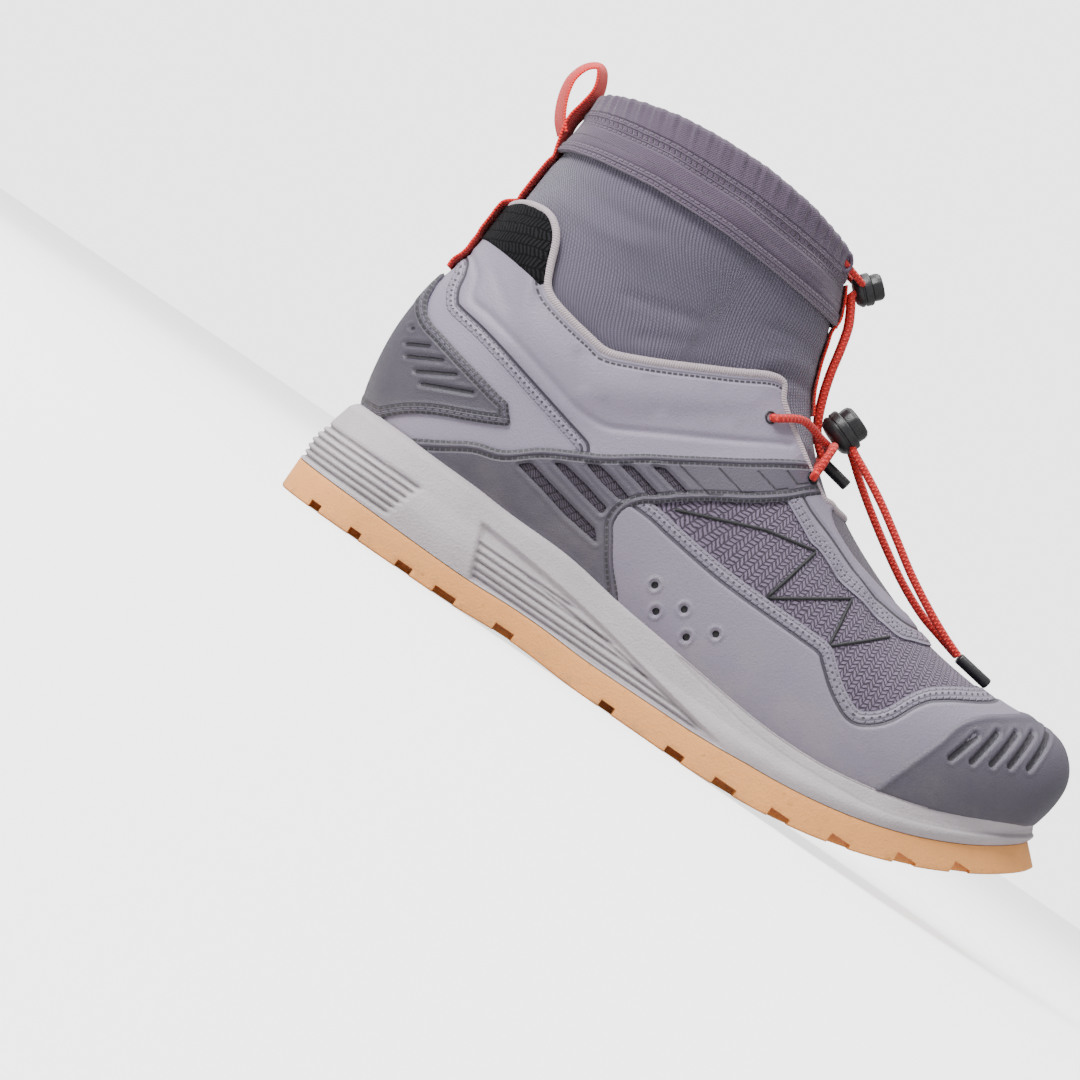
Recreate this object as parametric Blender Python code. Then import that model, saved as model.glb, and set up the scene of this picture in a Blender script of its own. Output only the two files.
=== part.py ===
"""A mid-height trail boot for the right foot, with a knitted gaiter drawn in by a cord at its cuff.

Metres, +Z up, toe towards +X, the outer side of the foot towards -Y.
The origin is under the heel, on the floor that the sole stands on.
"""

import math

import bmesh
import bpy
import numpy as np
from mathutils import Vector
from mathutils.bvhtree import BVHTree

# Driving sizes
LENGTH = 0.300
BALL_WIDTH = 0.110
HEEL_WIDTH = 0.082
SHAFT_WIDTH = 0.078
HEEL_STACK = 0.040
UPPER_HEIGHT = 0.148
TOE_SPRING = 0.0394
ARCH_RISE = 0.0012
OUTSOLE = 0.011
REST_ALONG = 0.0425

# Walls and clearances
GAP = 0.0003
UPPER_WALL = 0.0020
COLLAR_PAD = 0.0026
LIP = 0.0020
BASIN = 0.0085
INSOLE = 0.0035
GAITER_WALL = 0.0015
CUFF_WALL = 0.0018
CAP_THICK = 0.0020
GUARD_THICK = 0.0010
COUNTER_THICK = 0.0016
CAGE_THICK = 0.0014
PLATE_THICK = 0.0012

# Tread and sole side
LUG_DEPTH = 0.0045
EDGE_LUG_DEPTH = 0.0027
LUG_CHANNEL = 0.0056
EDGE_LUG_REACH = 0.0075
TREAD_BORDER = 0.0130
RIB_PITCH = 0.0026
RIB_WIDTH = 0.0014
RIB_DEPTH = 0.0011
STEP = 0.0010

# Throat, cords and hardware
THROAT_HALF = 0.0195
LACE = 0.0030
DRAWCORD = 0.0026
WEBBING_WIDE = 0.0120
WEBBING_THICK = 0.0013
LOCK_WIDE = 0.0160
LOCK_HIGH = 0.0075
LOCK_BUTTON = 0.0048
CORD_TIP = 0.0042
GROMMET = 0.0075
GROMMET_THICK = 0.0016
GROMMET_APART = 0.0240

PERCENT = 0.01
REACH = 0.100
BELOW = 0.020
PAST = 0.002
EASE = 0.0006

# Percent of the length, then thickness and rim height as percent of the outsole and the heel stack.
SOLE_HEIGHTS = (
    # along, outsole, stack
    (0.0, 107, 100),
    (20.0, 95, 96.5),
    (33.0, 91, 90),
    (46.5, 96, 80),
    (55.0, 100, 73),
    (63.0, 110, 65.5),
    (70.0, 107, 60.5),
    (77.0, 103, 58),
    (83.0, 100, 56),
    (90.0, 100, 56),
    (100.0, 105, 53),
)
SPRING_START = 55.0
SPRING_POWER = 2.3
ARCH_SPAN = (23.0, 43.0)

# Outline of the outsole: percent of the length, then half widths in percent of the ball or heel width.
SOLE_OUTLINE = (
    # along, width, outer, inner
    (1.0, "heel", 21.0, 21.0),
    (3.6, "heel", 36.0, 36.0),
    (8.0, "heel", 45.5, 45.0),
    (14.0, "heel", 49.5, 47.5),
    (23.0, "heel", 50.0, 45.5),
    (33.0, "ball", 36.6, 31.0),
    (43.0, "ball", 39.5, 30.5),
    (54.0, "ball", 44.6, 36.0),
    (64.0, "ball", 49.0, 43.3),
    (73.0, "ball", 50.5, 48.4),
    (81.0, "ball", 48.0, 49.5),
    (88.0, "ball", 41.4, 47.3),
    (93.5, "ball", 31.5, 41.5),
    (97.4, "ball", 19.5, 32.0),
    (99.4, "ball", 7.0, 22.0),
)
TOE_TIP_INWARD = 7.3
STRAIGHT_SIDE = (9, 20)

# Sections of the form that the boot is built round, from the toe to the cuff. Each lies on a chord
# from a back point to a front point: percent of the length along, percent of the upper height above
# the heel rim. A section marked "sole" has its back point under the footbed.
FORM = (
    # front along, up, back along, up, width, outer, inner, inward, widest, back square, front square
    (96.5, 17.6, 96.2, 12.2, "ball", 3.0, 3.0, 6.0, 50, 2.0, 2.0),
    (96.3, 20.9, 95.4, 7.4, "ball", 14.0, 14.0, 5.5, 46, 2.1, 2.1),
    (95.2, 24.0, 94.0, 1.5, "ball", 23.5, 23.5, 5.0, 42, 2.3, 2.2),
    (93.4, 26.2, 92.0, "sole", "ball", 30.0, 30.0, 4.6, 38, 2.6, 2.3),
    (90.2, 26.6, 89.0, "sole", "ball", 35.4, 35.4, 4.0, 37, 2.9, 2.3),
    (85.6, 26.1, 85.0, "sole", "ball", 40.2, 40.2, 2.6, 36, 3.0, 2.3),
    (80.0, 26.6, 80.0, "sole", "ball", 43.2, 43.2, 1.0, 35, 3.0, 2.2),
    (73.3, 28.6, 73.3, "sole", "ball", 44.6, 44.2, 0.0, 34, 3.0, 2.1),
    (66.7, 33.0, 66.0, "sole", "ball", 44.6, 42.2, 0.0, 33, 3.0, 2.0),
    (60.7, 38.0, 58.5, "sole", "ball", 43.4, 39.0, 0.0, 33, 2.9, 2.0),
    (56.0, 43.2, 51.0, "sole", "ball", 41.4, 36.2, 0.0, 34, 2.8, 2.0),
    (52.3, 48.8, 43.0, "sole", "ball", 38.6, 33.8, 0.0, 36, 2.7, 2.0),
    (49.8, 53.6, 34.0, "sole", "ball", 36.0, 32.4, 0.0, 38, 2.6, 2.0),
    (48.2, 57.4, 24.0, "sole", "heel", 45.6, 43.0, 0.0, 40, 2.5, 2.0),
    (47.2, 60.2, 14.0, "sole", "heel", 44.8, 43.0, 0.0, 42, 2.4, 2.0),
    (46.4, 62.8, 6.6, "sole", "heel", 44.0, 43.0, 0.0, 44, 2.3, 2.0),
    (45.8, 65.2, 3.7, 0.5, "heel", 43.6, 42.8, 0.0, 45, 2.3, 2.0),
    (45.2, 68.0, 2.4, 10.5, "heel", 43.4, 42.8, 0.0, 46, 2.3, 2.0),
    (44.6, 71.4, 1.9, 22.0, "heel", 43.2, 42.6, 0.0, 47, 2.2, 2.0),
    (44.1, 75.2, 2.6, 35.0, "heel", 43.2, 42.6, 0.0, 47, 2.1, 2.0),
    (43.6, 79.0, 4.5, 48.5, "shaft", 46.2, 45.8, 0.0, 48, 2.1, 2.0),
    (42.6, 83.6, 4.7, 62.5, "shaft", 48.6, 48.4, 0.0, 49, 2.0, 2.0),
    (41.4, 88.6, 5.2, 76.5, "shaft", 49.4, 49.4, 0.0, 50, 2.0, 2.0),
    (40.4, 94.2, 5.9, 89.0, "shaft", 47.6, 47.6, 0.0, 50, 2.0, 2.0),
    (39.8, 103.0, 6.4, 102.0, "shaft", 46.0, 46.0, 0.0, 50, 2.0, 2.0),
)
UNDER_FOOTBED = 0.0060
AROUND = 20

# Side outlines, each a row of runs that meet at corners: percent of the length, percent of the
# upper height above the heel rim.
COLLAR_LINE = (
    ((3.0, 58.0), (4.2, 59.2), (5.8, 61.4), (8.0, 62.2), (9.6, 61.6), (11.0, 58.8), (12.5, 51.5),
     (13.9, 45.9), (17.3, 43.7), (22.6, 42.3), (26.7, 44.9), (36.7, 55.7), (40.2, 60.2),
     (42.2, 60.8), (46.7, 56.4), (51.0, 48.6), (55.0, 42.0)),
)
CAP_REAR = ((76.0, -7.0), (77.4, -1.0), (79.4, 9.5), (81.6, 17.6), (84.4, 22.4), (87.4, 25.4), (90.2, 29.0),
            (92.0, 34.0))
COUNTER_FRONT = (
    ((1.0, 37.2), (2.6, 37.0), (3.2, 31.0), (4.6, 26.0), (7.0, 24.2), (13.3, 21.1), (17.0, 19.3)),
    ((17.0, 19.3), (19.2, 15.8)),
    ((19.2, 15.8), (15.0, 11.1), (9.5, 5.6), (5.6, -1.0), (4.0, -5.0)),
)
CAGE_LINE = (
    ((51.4, 50.0), (46.7, 43.9), (40.0, 35.5), (33.3, 27.4), (26.7, 18.9), (20.0, 10.1), (13.3, 3.7),
     (8.0, -2.4)),
    ((8.0, -2.4), (7.5, -16.0)),
    ((7.5, -16.0), (44.0, -16.0)),
    ((44.0, -16.0), (42.7, -5.0), (40.6, -2.0), (37.4, 4.6), (35.5, 9.6), (35.8, 14.4), (37.6, 18.9),
     (41.4, 24.2), (46.7, 31.4), (51.7, 40.0), (54.4, 45.0)),
    ((54.4, 45.0), (51.4, 50.0)),
)
CAGE_SLOTS = (
    ((22.2, 9.2), (23.3, 11.3), (33.8, 6.9), (35.0, 4.5)),
    ((25.4, 14.1), (26.7, 15.3), (33.6, 12.3), (33.5, 10.4)),
    ((28.6, 18.0), (30.0, 19.6), (35.1, 17.0), (34.2, 15.4)),
    ((31.9, 22.2), (33.1, 23.6), (37.7, 21.4), (36.7, 19.9)),
    ((35.0, 26.1), (36.4, 27.4), (40.3, 25.5), (39.2, 24.2)),
)
GUARD_TOP = (
    ((37.9, 18.2), (44.0, 17.1), (51.0, 16.0), (60.0, 15.1), (63.6, 14.2), (66.7, 9.8), (69.6, 6.5),
     (72.4, 9.4), (75.3, 17.8), (78.6, 22.6), (83.3, 26.6), (88.0, 31.0)),
)
PLATE_LOW = ((50.2, 36.4), (52.2, 34.6), (56.7, 31.2), (63.3, 27.1), (69.0, 24.8))
PLATE_FRONT = ((69.0, 24.8), (72.0, 26.2), (76.2, 31.0))
PLATE_REAR = (54.8, 45.5)
CUFF_HEM = ((0.0, 76.0), (5.0, 77.6), (10.0, 79.1), (18.0, 80.5), (27.0, 80.9), (36.0, 80.4), (50.0, 79.6))
CUFF_TOP = ((0.0, 92.0), (5.0, 94.2), (8.0, 96.2), (13.3, 98.0), (20.0, 99.4), (27.0, 100.0), (34.0, 99.0),
            (39.0, 97.4), (50.0, 94.0))
GAITER_LOW = ((0.0, 44.0), (8.0, 38.0), (22.0, 31.0), (36.0, 36.0), (50.0, 34.0), (58.0, 30.0))
GAITER_TOP = 87.0
THROAT_END = 54.6
THROAT_START = 38.0
THROAT_FLOOR = 34.0
THROAT_CORNER = 0.45
EYELETS = ((43.3, 52.0), (51.4, 46.0))
EYELET_HOLE = 0.0038

COLOURS = {
    "gum_rubber": ((0.72, 0.45, 0.24, 1), 0.75),
    "foam": ((0.47, 0.45, 0.45, 1), 0.7),
    "insole_foam": ((0.12, 0.12, 0.13, 1), 0.9),
    "coated_fabric": ((0.36, 0.36, 0.38, 1), 0.55),
    "moulded_grey": ((0.14, 0.14, 0.14, 1), 0.5),
    "coated_light": ((0.42, 0.42, 0.44, 1), 0.5),
    "knit": ((0.17, 0.165, 0.18, 1), 0.9),
    "woven": ((0.24, 0.21, 0.24, 1), 0.8),
    "webbing": ((0.75, 0.05, 0.02, 1), 0.7),
    "cord": ((0.78, 0.06, 0.02, 1), 0.6),
    "hard_black": ((0.012, 0.012, 0.014, 1), 0.35),
}


def clear_scene():
    for obj in list(bpy.data.objects):
        bpy.data.objects.remove(obj, do_unlink=True)


def material(name):
    found = bpy.data.materials.get(name)
    if found:
        return found
    made = bpy.data.materials.new(name)
    made.use_nodes = True
    colour, roughness = COLOURS[name]
    shader = made.node_tree.nodes["Principled BSDF"]
    shader.inputs["Base Color"].default_value = colour
    shader.inputs["Roughness"].default_value = roughness
    shader.inputs["Metallic"].default_value = 0.0
    made.diffuse_color = colour
    return made


def new_object(name, points, faces, finish=None, sharp=35):
    """A mesh object. Without a finish it is a hidden cutter."""
    mesh = bpy.data.meshes.new(name)
    mesh.from_pydata([tuple(p) for p in points], [], faces)
    mesh.validate()
    work = bmesh.new()
    work.from_mesh(mesh)
    bmesh.ops.recalc_face_normals(work, faces=work.faces)
    work.to_mesh(mesh)
    work.free()
    obj = bpy.data.objects.new(name, mesh)
    bpy.context.scene.collection.objects.link(obj)
    if finish:
        mesh.materials.append(material(finish))
        mesh.shade_smooth()
        mesh.set_sharp_from_angle(angle=math.radians(sharp))
    else:
        obj.hide_render = True
        obj.display_type = "WIRE"
    return obj


def boolean(obj, cutter, operation="DIFFERENCE", solver="MANIFOLD"):
    """A live Boolean. The exact solver loses parts of the boot's thin shells, so they use the other one."""
    step = obj.modifiers.new(f"{operation.lower()}_{cutter.name}", "BOOLEAN")
    step.object = cutter
    step.operation = operation
    step.solver = solver


def along(share):
    return share * PERCENT * LENGTH - REST_ALONG


def up(share):
    return HEEL_STACK + share * PERCENT * UPPER_HEIGHT


def side(points):
    return [(along(a), up(b)) for a, b in points]


def smooth_run(points, steps):
    """Points on a smooth curve through the given ones, its ends included."""
    p = np.array([points[0], *points, points[-1]], float)
    p[0] = 2 * p[1] - p[2]
    p[-1] = 2 * p[-2] - p[-3]
    found = []
    for i in range(1, len(p) - 2):
        for t in np.arange(steps) / steps:
            found.append(
                0.5 * (2 * p[i] + (p[i + 1] - p[i - 1]) * t
                       + (2 * p[i - 1] - 5 * p[i] + 4 * p[i + 1] - p[i + 2]) * t ** 2
                       + (3 * p[i] - p[i - 1] - 3 * p[i + 1] + p[i + 2]) * t ** 3)
            )
    found.append(p[-2])
    return [tuple(point) for point in found]


def outline(runs, steps=2):
    """A side outline through runs that meet at corners, each run of three points or more smoothed."""
    found = []
    for run in runs:
        points = side(run)
        points = smooth_run(points, steps) if len(points) > 2 else points
        found += [p for p in points if not found or math.dist(p, found[-1]) > 1e-6]
    return found


def sole_heights(x):
    """Outsole top and midsole rim above the outsole's underside, at a place along the boot."""
    share = (x + REST_ALONG) / LENGTH / PERCENT
    rows = np.array(SOLE_HEIGHTS)
    thick = np.interp(share, rows[:, 0], rows[:, 1]) * PERCENT * OUTSOLE
    stack = np.interp(share, rows[:, 0], rows[:, 2]) * PERCENT * HEEL_STACK
    return thick, stack


def underside(x):
    share = (x + REST_ALONG) / LENGTH / PERCENT
    ahead = max(share - SPRING_START, 0) / (100 - SPRING_START)
    middle = (share - ARCH_SPAN[0]) / (ARCH_SPAN[1] - ARCH_SPAN[0])
    arch = math.sin(math.pi * middle) ** 2 if 0 < middle < 1 else 0
    return TOE_SPRING * ahead ** SPRING_POWER + ARCH_RISE * arch


def slope(x):
    return (underside(x + PAST) - underside(x - PAST)) / (2 * PAST)


def outsole_top(x):
    return underside(x) + sole_heights(x)[0]


def rim(x):
    return underside(x) + sole_heights(x)[1]


def footbed(x):
    return rim(x) - BASIN


def width_of(name):
    return {"ball": BALL_WIDTH, "heel": HEEL_WIDTH, "shaft": SHAFT_WIDTH}[name]


def form_rows():
    """The form's sections as rows of real sizes."""
    rows = []
    for fa, fu, ba, bu, width, outer, inner, inward, widest, back, front in FORM:
        low = footbed(along(ba)) - UNDER_FOOTBED if bu == "sole" else up(bu)
        wide = width_of(width) * PERCENT
        rows.append((along(fa), up(fu), along(ba), low, outer * wide, inner * wide, inward * wide,
                     widest * PERCENT, back, front))
    return np.array(rows)


def form_sections():
    """Points of the bare form, a ring for each section, from the back point round the outer side."""
    rings = []
    for fx, fz, bx, bz, outer, inner, inward, widest, back, front in form_rows():
        ring = []
        for k in range(AROUND):
            turn = 2 * math.pi * k / AROUND
            half = turn if turn <= math.pi else 2 * math.pi - turn
            cosine, sine = math.cos(half), abs(math.sin(half))
            power = back if cosine > 0 else front
            reach = abs(cosine) ** (2 / power)
            q = widest * (1 - reach) if cosine > 0 else widest + (1 - widest) * reach
            wide = sine ** (2 / power) * (-outer if turn <= math.pi else inner)
            ring.append((bx + q * (fx - bx), inward + wide, bz + q * (fz - bz)))
        rings.append(ring)
    return np.array(rings)


def form_normals(rings):
    around = np.roll(rings, -1, axis=1) - np.roll(rings, 1, axis=1)
    length = np.gradient(rings, axis=0)
    normal = np.cross(around, length)
    normal /= np.linalg.norm(normal, axis=2, keepdims=True) + 1e-12
    centre = rings.mean(axis=1, keepdims=True)
    if np.sum(normal * (rings - centre)) < 0:
        normal = -normal
    return normal


# The padded roll below the collar: how far down and how tall, in percent of the upper height, and
# where it fades in and out, in percent of the length.
ROLL_DOWN, ROLL_TALL = 8.5, 7.1
ROLL_IN, ROLL_OUT = (3.0, 9.0), (50.0, 40.0)


def collar_swell(points):
    """How far the padded collar stands out at each point."""
    line = np.array(outline(COLLAR_LINE))
    below = np.interp(points[..., 0], line[:, 0], line[:, 1]) - points[..., 2]
    roll = np.exp(-((below / (PERCENT * UPPER_HEIGHT) - ROLL_DOWN) / ROLL_TALL) ** 2)
    share = (points[..., 0] + REST_ALONG) / LENGTH / PERCENT
    starts = np.clip((share - ROLL_IN[0]) / (ROLL_IN[1] - ROLL_IN[0]), 0, 1)
    ends = np.clip((share - ROLL_OUT[0]) / (ROLL_OUT[1] - ROLL_OUT[0]), 0, 1)
    return COLLAR_PAD * roll * starts * ends


RINGS = form_sections()
NORMALS = form_normals(RINGS)
SWELL = collar_swell(RINGS)[..., None]
UPPER_OUT = GAP + UPPER_WALL
OVERLAY_IN = UPPER_OUT + GAP


def grown_form(offset, padded=True):
    """The form's rings moved out by an offset, over the padded collar where that is asked."""
    return RINGS + NORMALS * (offset + (SWELL if padded else 0))


def closed_rings(rings):
    """Points and faces of a closed body through rings of points."""
    count, around = rings.shape[:2]
    faces = []
    for i in range(count - 1):
        for k in range(around):
            a, b = i * around + k, i * around + (k + 1) % around
            faces += [(a, b, b + around), (a, b + around, a + around)]
    faces.append(tuple(range(around)))
    faces.append(tuple(range((count - 1) * around, count * around))[::-1])
    return rings.reshape(-1, 3), faces


def form_object(name, offset, finish=None, padded=True):
    return new_object(name, *closed_rings(grown_form(offset, padded)), finish)


def surface_tree(offset, padded=True):
    points, faces = closed_rings(grown_form(offset, padded))
    return BVHTree.FromPolygons([tuple(p) for p in points], faces)


def hit(tree, start, towards):
    found = tree.ray_cast(Vector(start), Vector(towards).normalized())[0]
    if found is None:
        raise ValueError(f"nothing lies from {start} towards {towards}")
    return found


def prism(name, polygon, low=-REACH, high=REACH):
    """A side outline drawn out across the boot."""
    count = len(polygon)
    points = [(x, y, z) for y in (low, high) for x, z in polygon]
    faces = [tuple(range(count)), tuple(range(count, 2 * count))[::-1]]
    faces += [(k, (k + 1) % count, count + (k + 1) % count, count + k) for k in range(count)]
    return new_object(name, points, faces)


def ground_block(name, height, low, high=None, steps=26):
    """A block across the whole boot, its top, or with high its underside, following a height along it."""
    xs = np.linspace(along(-6), along(106), steps)
    curve = [(x, height(x)) for x in xs]
    flat = low if high is None else high
    return prism(name, curve + [(xs[-1], flat), (xs[0], flat)])


def sole_outline():
    """The outsole's outline as points round it, from the heel along the outer side."""
    outer = [(along(a), -o * PERCENT * width_of(w)) for a, w, o, i in SOLE_OUTLINE]
    inner = [(along(a), i * PERCENT * width_of(w)) for a, w, o, i in SOLE_OUTLINE]
    heel = (along(0), 0.0)
    toe = (along(100), TOE_TIP_INWARD * PERCENT * BALL_WIDTH)
    loop = [heel, *outer, toe, *inner[::-1]]
    whole = smooth_run([loop[-1], *loop, loop[0], loop[1]], 2)[2:-3]
    straight = range(*STRAIGHT_SIDE)
    dropped = {k for k in straight if k % 2} | {len(whole) - k for k in straight if k % 2}
    return [point for k, point in enumerate(whole) if k not in dropped]


OUTLINE = sole_outline()


def outline_normals():
    ring = np.array(OUTLINE)
    tangent = np.roll(ring, -1, axis=0) - np.roll(ring, 1, axis=0)
    normal = np.stack([tangent[:, 1], -tangent[:, 0]], axis=1)
    normal /= np.linalg.norm(normal, axis=1, keepdims=True)
    outward = np.sum(normal * (ring - ring.mean(axis=0)), axis=1)
    return normal * np.sign(outward.sum())


OUTWARD = outline_normals()


# The line that the rim is looked for from: percent of the length it spans, and its share of the ball
# width inwards at the toe.
RIM_SPINE = (14.0, 84.0)
RIM_SPINE_INWARD = 0.03


def rim_outline():
    """The midsole's rim: where the upper's skin meets it, plus the lip, for each outline point."""
    tree = surface_tree(UPPER_OUT)
    found = []
    for (x, y), (nx, ny) in zip(OUTLINE, OUTWARD):
        centre_x = min(max(x, along(RIM_SPINE[0])), along(RIM_SPINE[1]))
        centre_y = RIM_SPINE_INWARD * BALL_WIDTH * max(0, (x - along(70)) / (along(100) - along(70)))
        direction = Vector((x - centre_x, y - centre_y, 0)).normalized()
        if centre_x == x:
            direction = Vector((0, math.copysign(1, y), 0))
        place = Vector((x, y, 0))
        for _ in range(4):
            start = Vector((place.x, place.y, rim(place.x))) + direction * BALL_WIDTH / 2
            place = hit(tree, start, -direction)
        found.append((place.x + direction.x * (GAP + LIP), place.y + direction.y * (GAP + LIP)))
    return found


def loop_surface(loops, heights):
    """A closed body from outline loops one above another, flat loops capped by strips across the boot."""
    count = len(loops[0])
    points = [(x, y, z) for loop, high in zip(loops, heights) for (x, y), z in zip(loop, high)]
    faces = []
    for level in range(len(loops) - 1):
        base = level * count
        faces += [(base + k, base + (k + 1) % count, base + count + (k + 1) % count, base + count + k)
                  for k in range(count)]
    for base in (0, (len(loops) - 1) * count):
        faces.append((base, base + 1, base + count - 1))
        faces += [(base + k, base + k + 1, base + count - k - 1, base + count - k)
                  for k in range(1, count // 2 - 1)]
        faces.append((base + count // 2 - 1, base + count // 2, base + count // 2 + 1))
    return points, faces


def mixed(first, second, share):
    return [
        ((1 - share) * a[0] + share * b[0], (1 - share) * a[1] + share * b[1])
        for a, b in zip(first, second)
    ]


def leaned(loop, height):
    """The loop at a height above the underside: square to the sole, so it falls back at the toe."""
    return [(x - slope(min(x, along(97))) * height, y) for x, y in loop]


def moved_out(loop, distance):
    return [(x + n[0] * distance, y + n[1] * distance) for (x, y), n in zip(loop, OUTWARD)]


# The midsole's side: share of its height, share of the way in to the rim, steps proud.
SIDE_LEVELS = (
    (0.0, 0.0, 0),
    (0.32, 0.0, 0),
    (0.56, 0.26, 1),
    (0.60, 0.44, 0),
    (0.90, 0.62, 0),
    (1.0, 1.0, 0),
)


def make_midsole(rim_loop):
    """The foam block: its side goes from the outsole to the rim, with a step, ribs and an arch recess."""
    low_loop = leaned(OUTLINE, OUTSOLE)
    loops, heights = [], []
    for level, lean, proud in SIDE_LEVELS:
        loop = moved_out(mixed(low_loop, rim_loop, lean), proud * STEP)
        loops.append(loop)
        heights.append([
            (1 - level) * (outsole_top(x) + GAP) + level * rim(x) for x, y in loop
        ])
    midsole = new_object("midsole", *loop_surface(loops, heights), finish="foam")
    basin = form_object("basin_form", UPPER_OUT + GAP)
    bed = ground_block("above_footbed", footbed, 0, high=up(120))
    boolean(basin, bed, "INTERSECT")
    boolean(midsole, basin)
    for cutter in rib_cutters():
        boolean(midsole, cutter)
    return midsole


def rib_path(first, last, inset, rise):
    """Points of the sole's side between two outline places, at a rise above the outsole's top."""
    count = len(OUTLINE)
    found = []
    for k in range(first, last + 1):
        x, y = OUTLINE[k % count]
        n = OUTWARD[k % count]
        found.append((x - n[0] * inset, y - n[1] * inset, outsole_top(x) + rise))
    return found


def groove(name, first, last, rise, wide, deep):
    """A V groove along the sole's side, its mouth past the side and its ends closed."""
    half_mouth = wide * (0.5 + PAST / deep)
    mouth_low = rib_path(first, last, -PAST, rise - half_mouth)
    mouth_high = rib_path(first, last, -PAST, rise + half_mouth)
    root = rib_path(first, last, deep, rise)
    count = len(root)
    points = mouth_low + mouth_high + root
    faces = [(0, count, 2 * count), (count - 1, 3 * count - 1, 2 * count - 1)]
    for k in range(count - 1):
        faces.append((k, k + 1, count + k + 1, count + k))
        faces.append((count + k, count + k + 1, 2 * count + k + 1, 2 * count + k))
        faces.append((2 * count + k, 2 * count + k + 1, k + 1, k))
    return new_object(name, points, faces)


def outline_index(share, outer=True):
    """The outline point nearest to a place along the boot, on the outer or the inner side."""
    count = len(OUTLINE)
    side_points = range(0, count // 2) if outer else range(count // 2, count)
    return min(side_points, key=lambda k: abs(OUTLINE[k][0] - along(share)))


HEEL_RIBS = 6
HEEL_RIB_END = 14.0
ARCH_RIBS_FROM = 24.0
ARCH_RIBS_TO = (54.0, 49.0, 43.0, 37.0, 34.0)
FIRST_RIB = 0.0022


def rib_cutters():
    count = len(OUTLINE)
    found = []
    for rib in range(HEEL_RIBS):
        rise = FIRST_RIB + rib * RIB_PITCH
        outer_end = outline_index(HEEL_RIB_END)
        inner_end = outline_index(HEEL_RIB_END, outer=False)
        found.append(groove(f"heel_rib_{rib}", inner_end - count, outer_end, rise, RIB_WIDTH, RIB_DEPTH))
    for rib, end in enumerate(ARCH_RIBS_TO):
        rise = FIRST_RIB + rib * RIB_PITCH
        found.append(groove(
            f"outer_arch_rib_{rib}", outline_index(ARCH_RIBS_FROM), outline_index(end),
            rise, RIB_WIDTH, RIB_DEPTH))
        found.append(groove(
            f"inner_arch_rib_{rib}", outline_index(end, False), outline_index(ARCH_RIBS_FROM, False),
            rise, RIB_WIDTH, RIB_DEPTH))
    return found


def make_outsole():
    """The rubber: a slab that follows the toe spring, with channels cut up between its lugs."""
    lower = moved_out(OUTLINE, -EASE)
    upper = leaned(OUTLINE, OUTSOLE)
    loops = [lower, OUTLINE, upper]
    heights = [
        [underside(x) for x, y in lower],
        [underside(x) + EASE for x, y in OUTLINE],
        [outsole_top(x) for x, y in upper],
    ]
    outsole = new_object("outsole", *loop_surface(loops, heights), finish="gum_rubber")
    for cutter in tread_cutters():
        boolean(outsole, cutter, solver="EXACT")
    return outsole


def box_between(name, start, end, half, top_start, top_end, low=-2 * PAST):
    """A channel cutter from one place on the floor to another, its top following the sole."""
    a, b = Vector(start), Vector(end)
    across = Vector((-(b - a).y, (b - a).x)).normalized() * half
    corners = [a - across, b - across, b + across, a + across]
    tops = [top_start, top_end, top_end, top_start]
    points = [(c.x, c.y, low) for c in corners] + [(c.x, c.y, t) for c, t in zip(corners, tops)]
    faces = [(0, 1, 2, 3), (7, 6, 5, 4), (0, 4, 5, 1), (1, 5, 6, 2), (2, 6, 7, 3), (3, 7, 4, 0)]
    return new_object(name, points, faces)


def half_width_at(x, outer):
    loop = sorted((p for p in OUTLINE if (p[1] < 0) == outer), key=lambda p: p[0])
    return abs(np.interp(x, [p[0] for p in loop], [p[1] for p in loop]))


EDGE_GAPS = (5.4, 11.1, 18.0, 25.0, 31.6, 46.3, 55.6, 62.4, 69.4, 76.6, 84.3, 90.6)
CHANNELS = (11.1, 18.0, 25.0, 52.0, 58.5, 65.5, 72.5, 79.5, 86.5)
CHEVRON = 0.35


def tread_cutters():
    found = []
    for number, place in enumerate(EDGE_GAPS):
        x = along(place)
        for outer in (True, False):
            sign = -1 if outer else 1
            wide = half_width_at(x, outer)
            top = underside(x) + EDGE_LUG_DEPTH
            found.append(box_between(
                f"edge_gap_{number}_{'outer' if outer else 'inner'}",
                (x - LUG_CHANNEL / 2, sign * (wide - EDGE_LUG_REACH)),
                (x + LUG_CHANNEL / 2, sign * (wide + EDGE_LUG_REACH)),
                LUG_CHANNEL / 2, top, top))
    for number, place in enumerate(CHANNELS):
        x = along(place)
        for outer in (True, False):
            sign = -1 if outer else 1
            wide = half_width_at(x, outer) - TREAD_BORDER
            back = x - CHEVRON * wide
            found.append(box_between(
                f"channel_{number}_{'outer' if outer else 'inner'}",
                (x, sign * -PAST / 2), (back, sign * wide), LUG_CHANNEL / 2,
                underside(x) + LUG_DEPTH, underside(back) + LUG_DEPTH))
    return found


def make_insole():
    block = form_object("insole", -GAP, "insole_foam", padded=False)
    slab = ground_block("insole_slab_top", lambda x: footbed(x) + GAP + INSOLE, -BELOW)
    below = ground_block("insole_slab_below", lambda x: footbed(x) + GAP, -2 * BELOW)
    boolean(block, slab, "INTERSECT")
    boolean(block, below)
    return block


def above_collar():
    line = outline(COLLAR_LINE)
    right, left, high = line[-1][0], line[0][0] - HEEL_STACK, up(130)
    return prism("above_collar", line + [(right, high), (left, high), (left, line[0][1] - PAST)])


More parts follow.
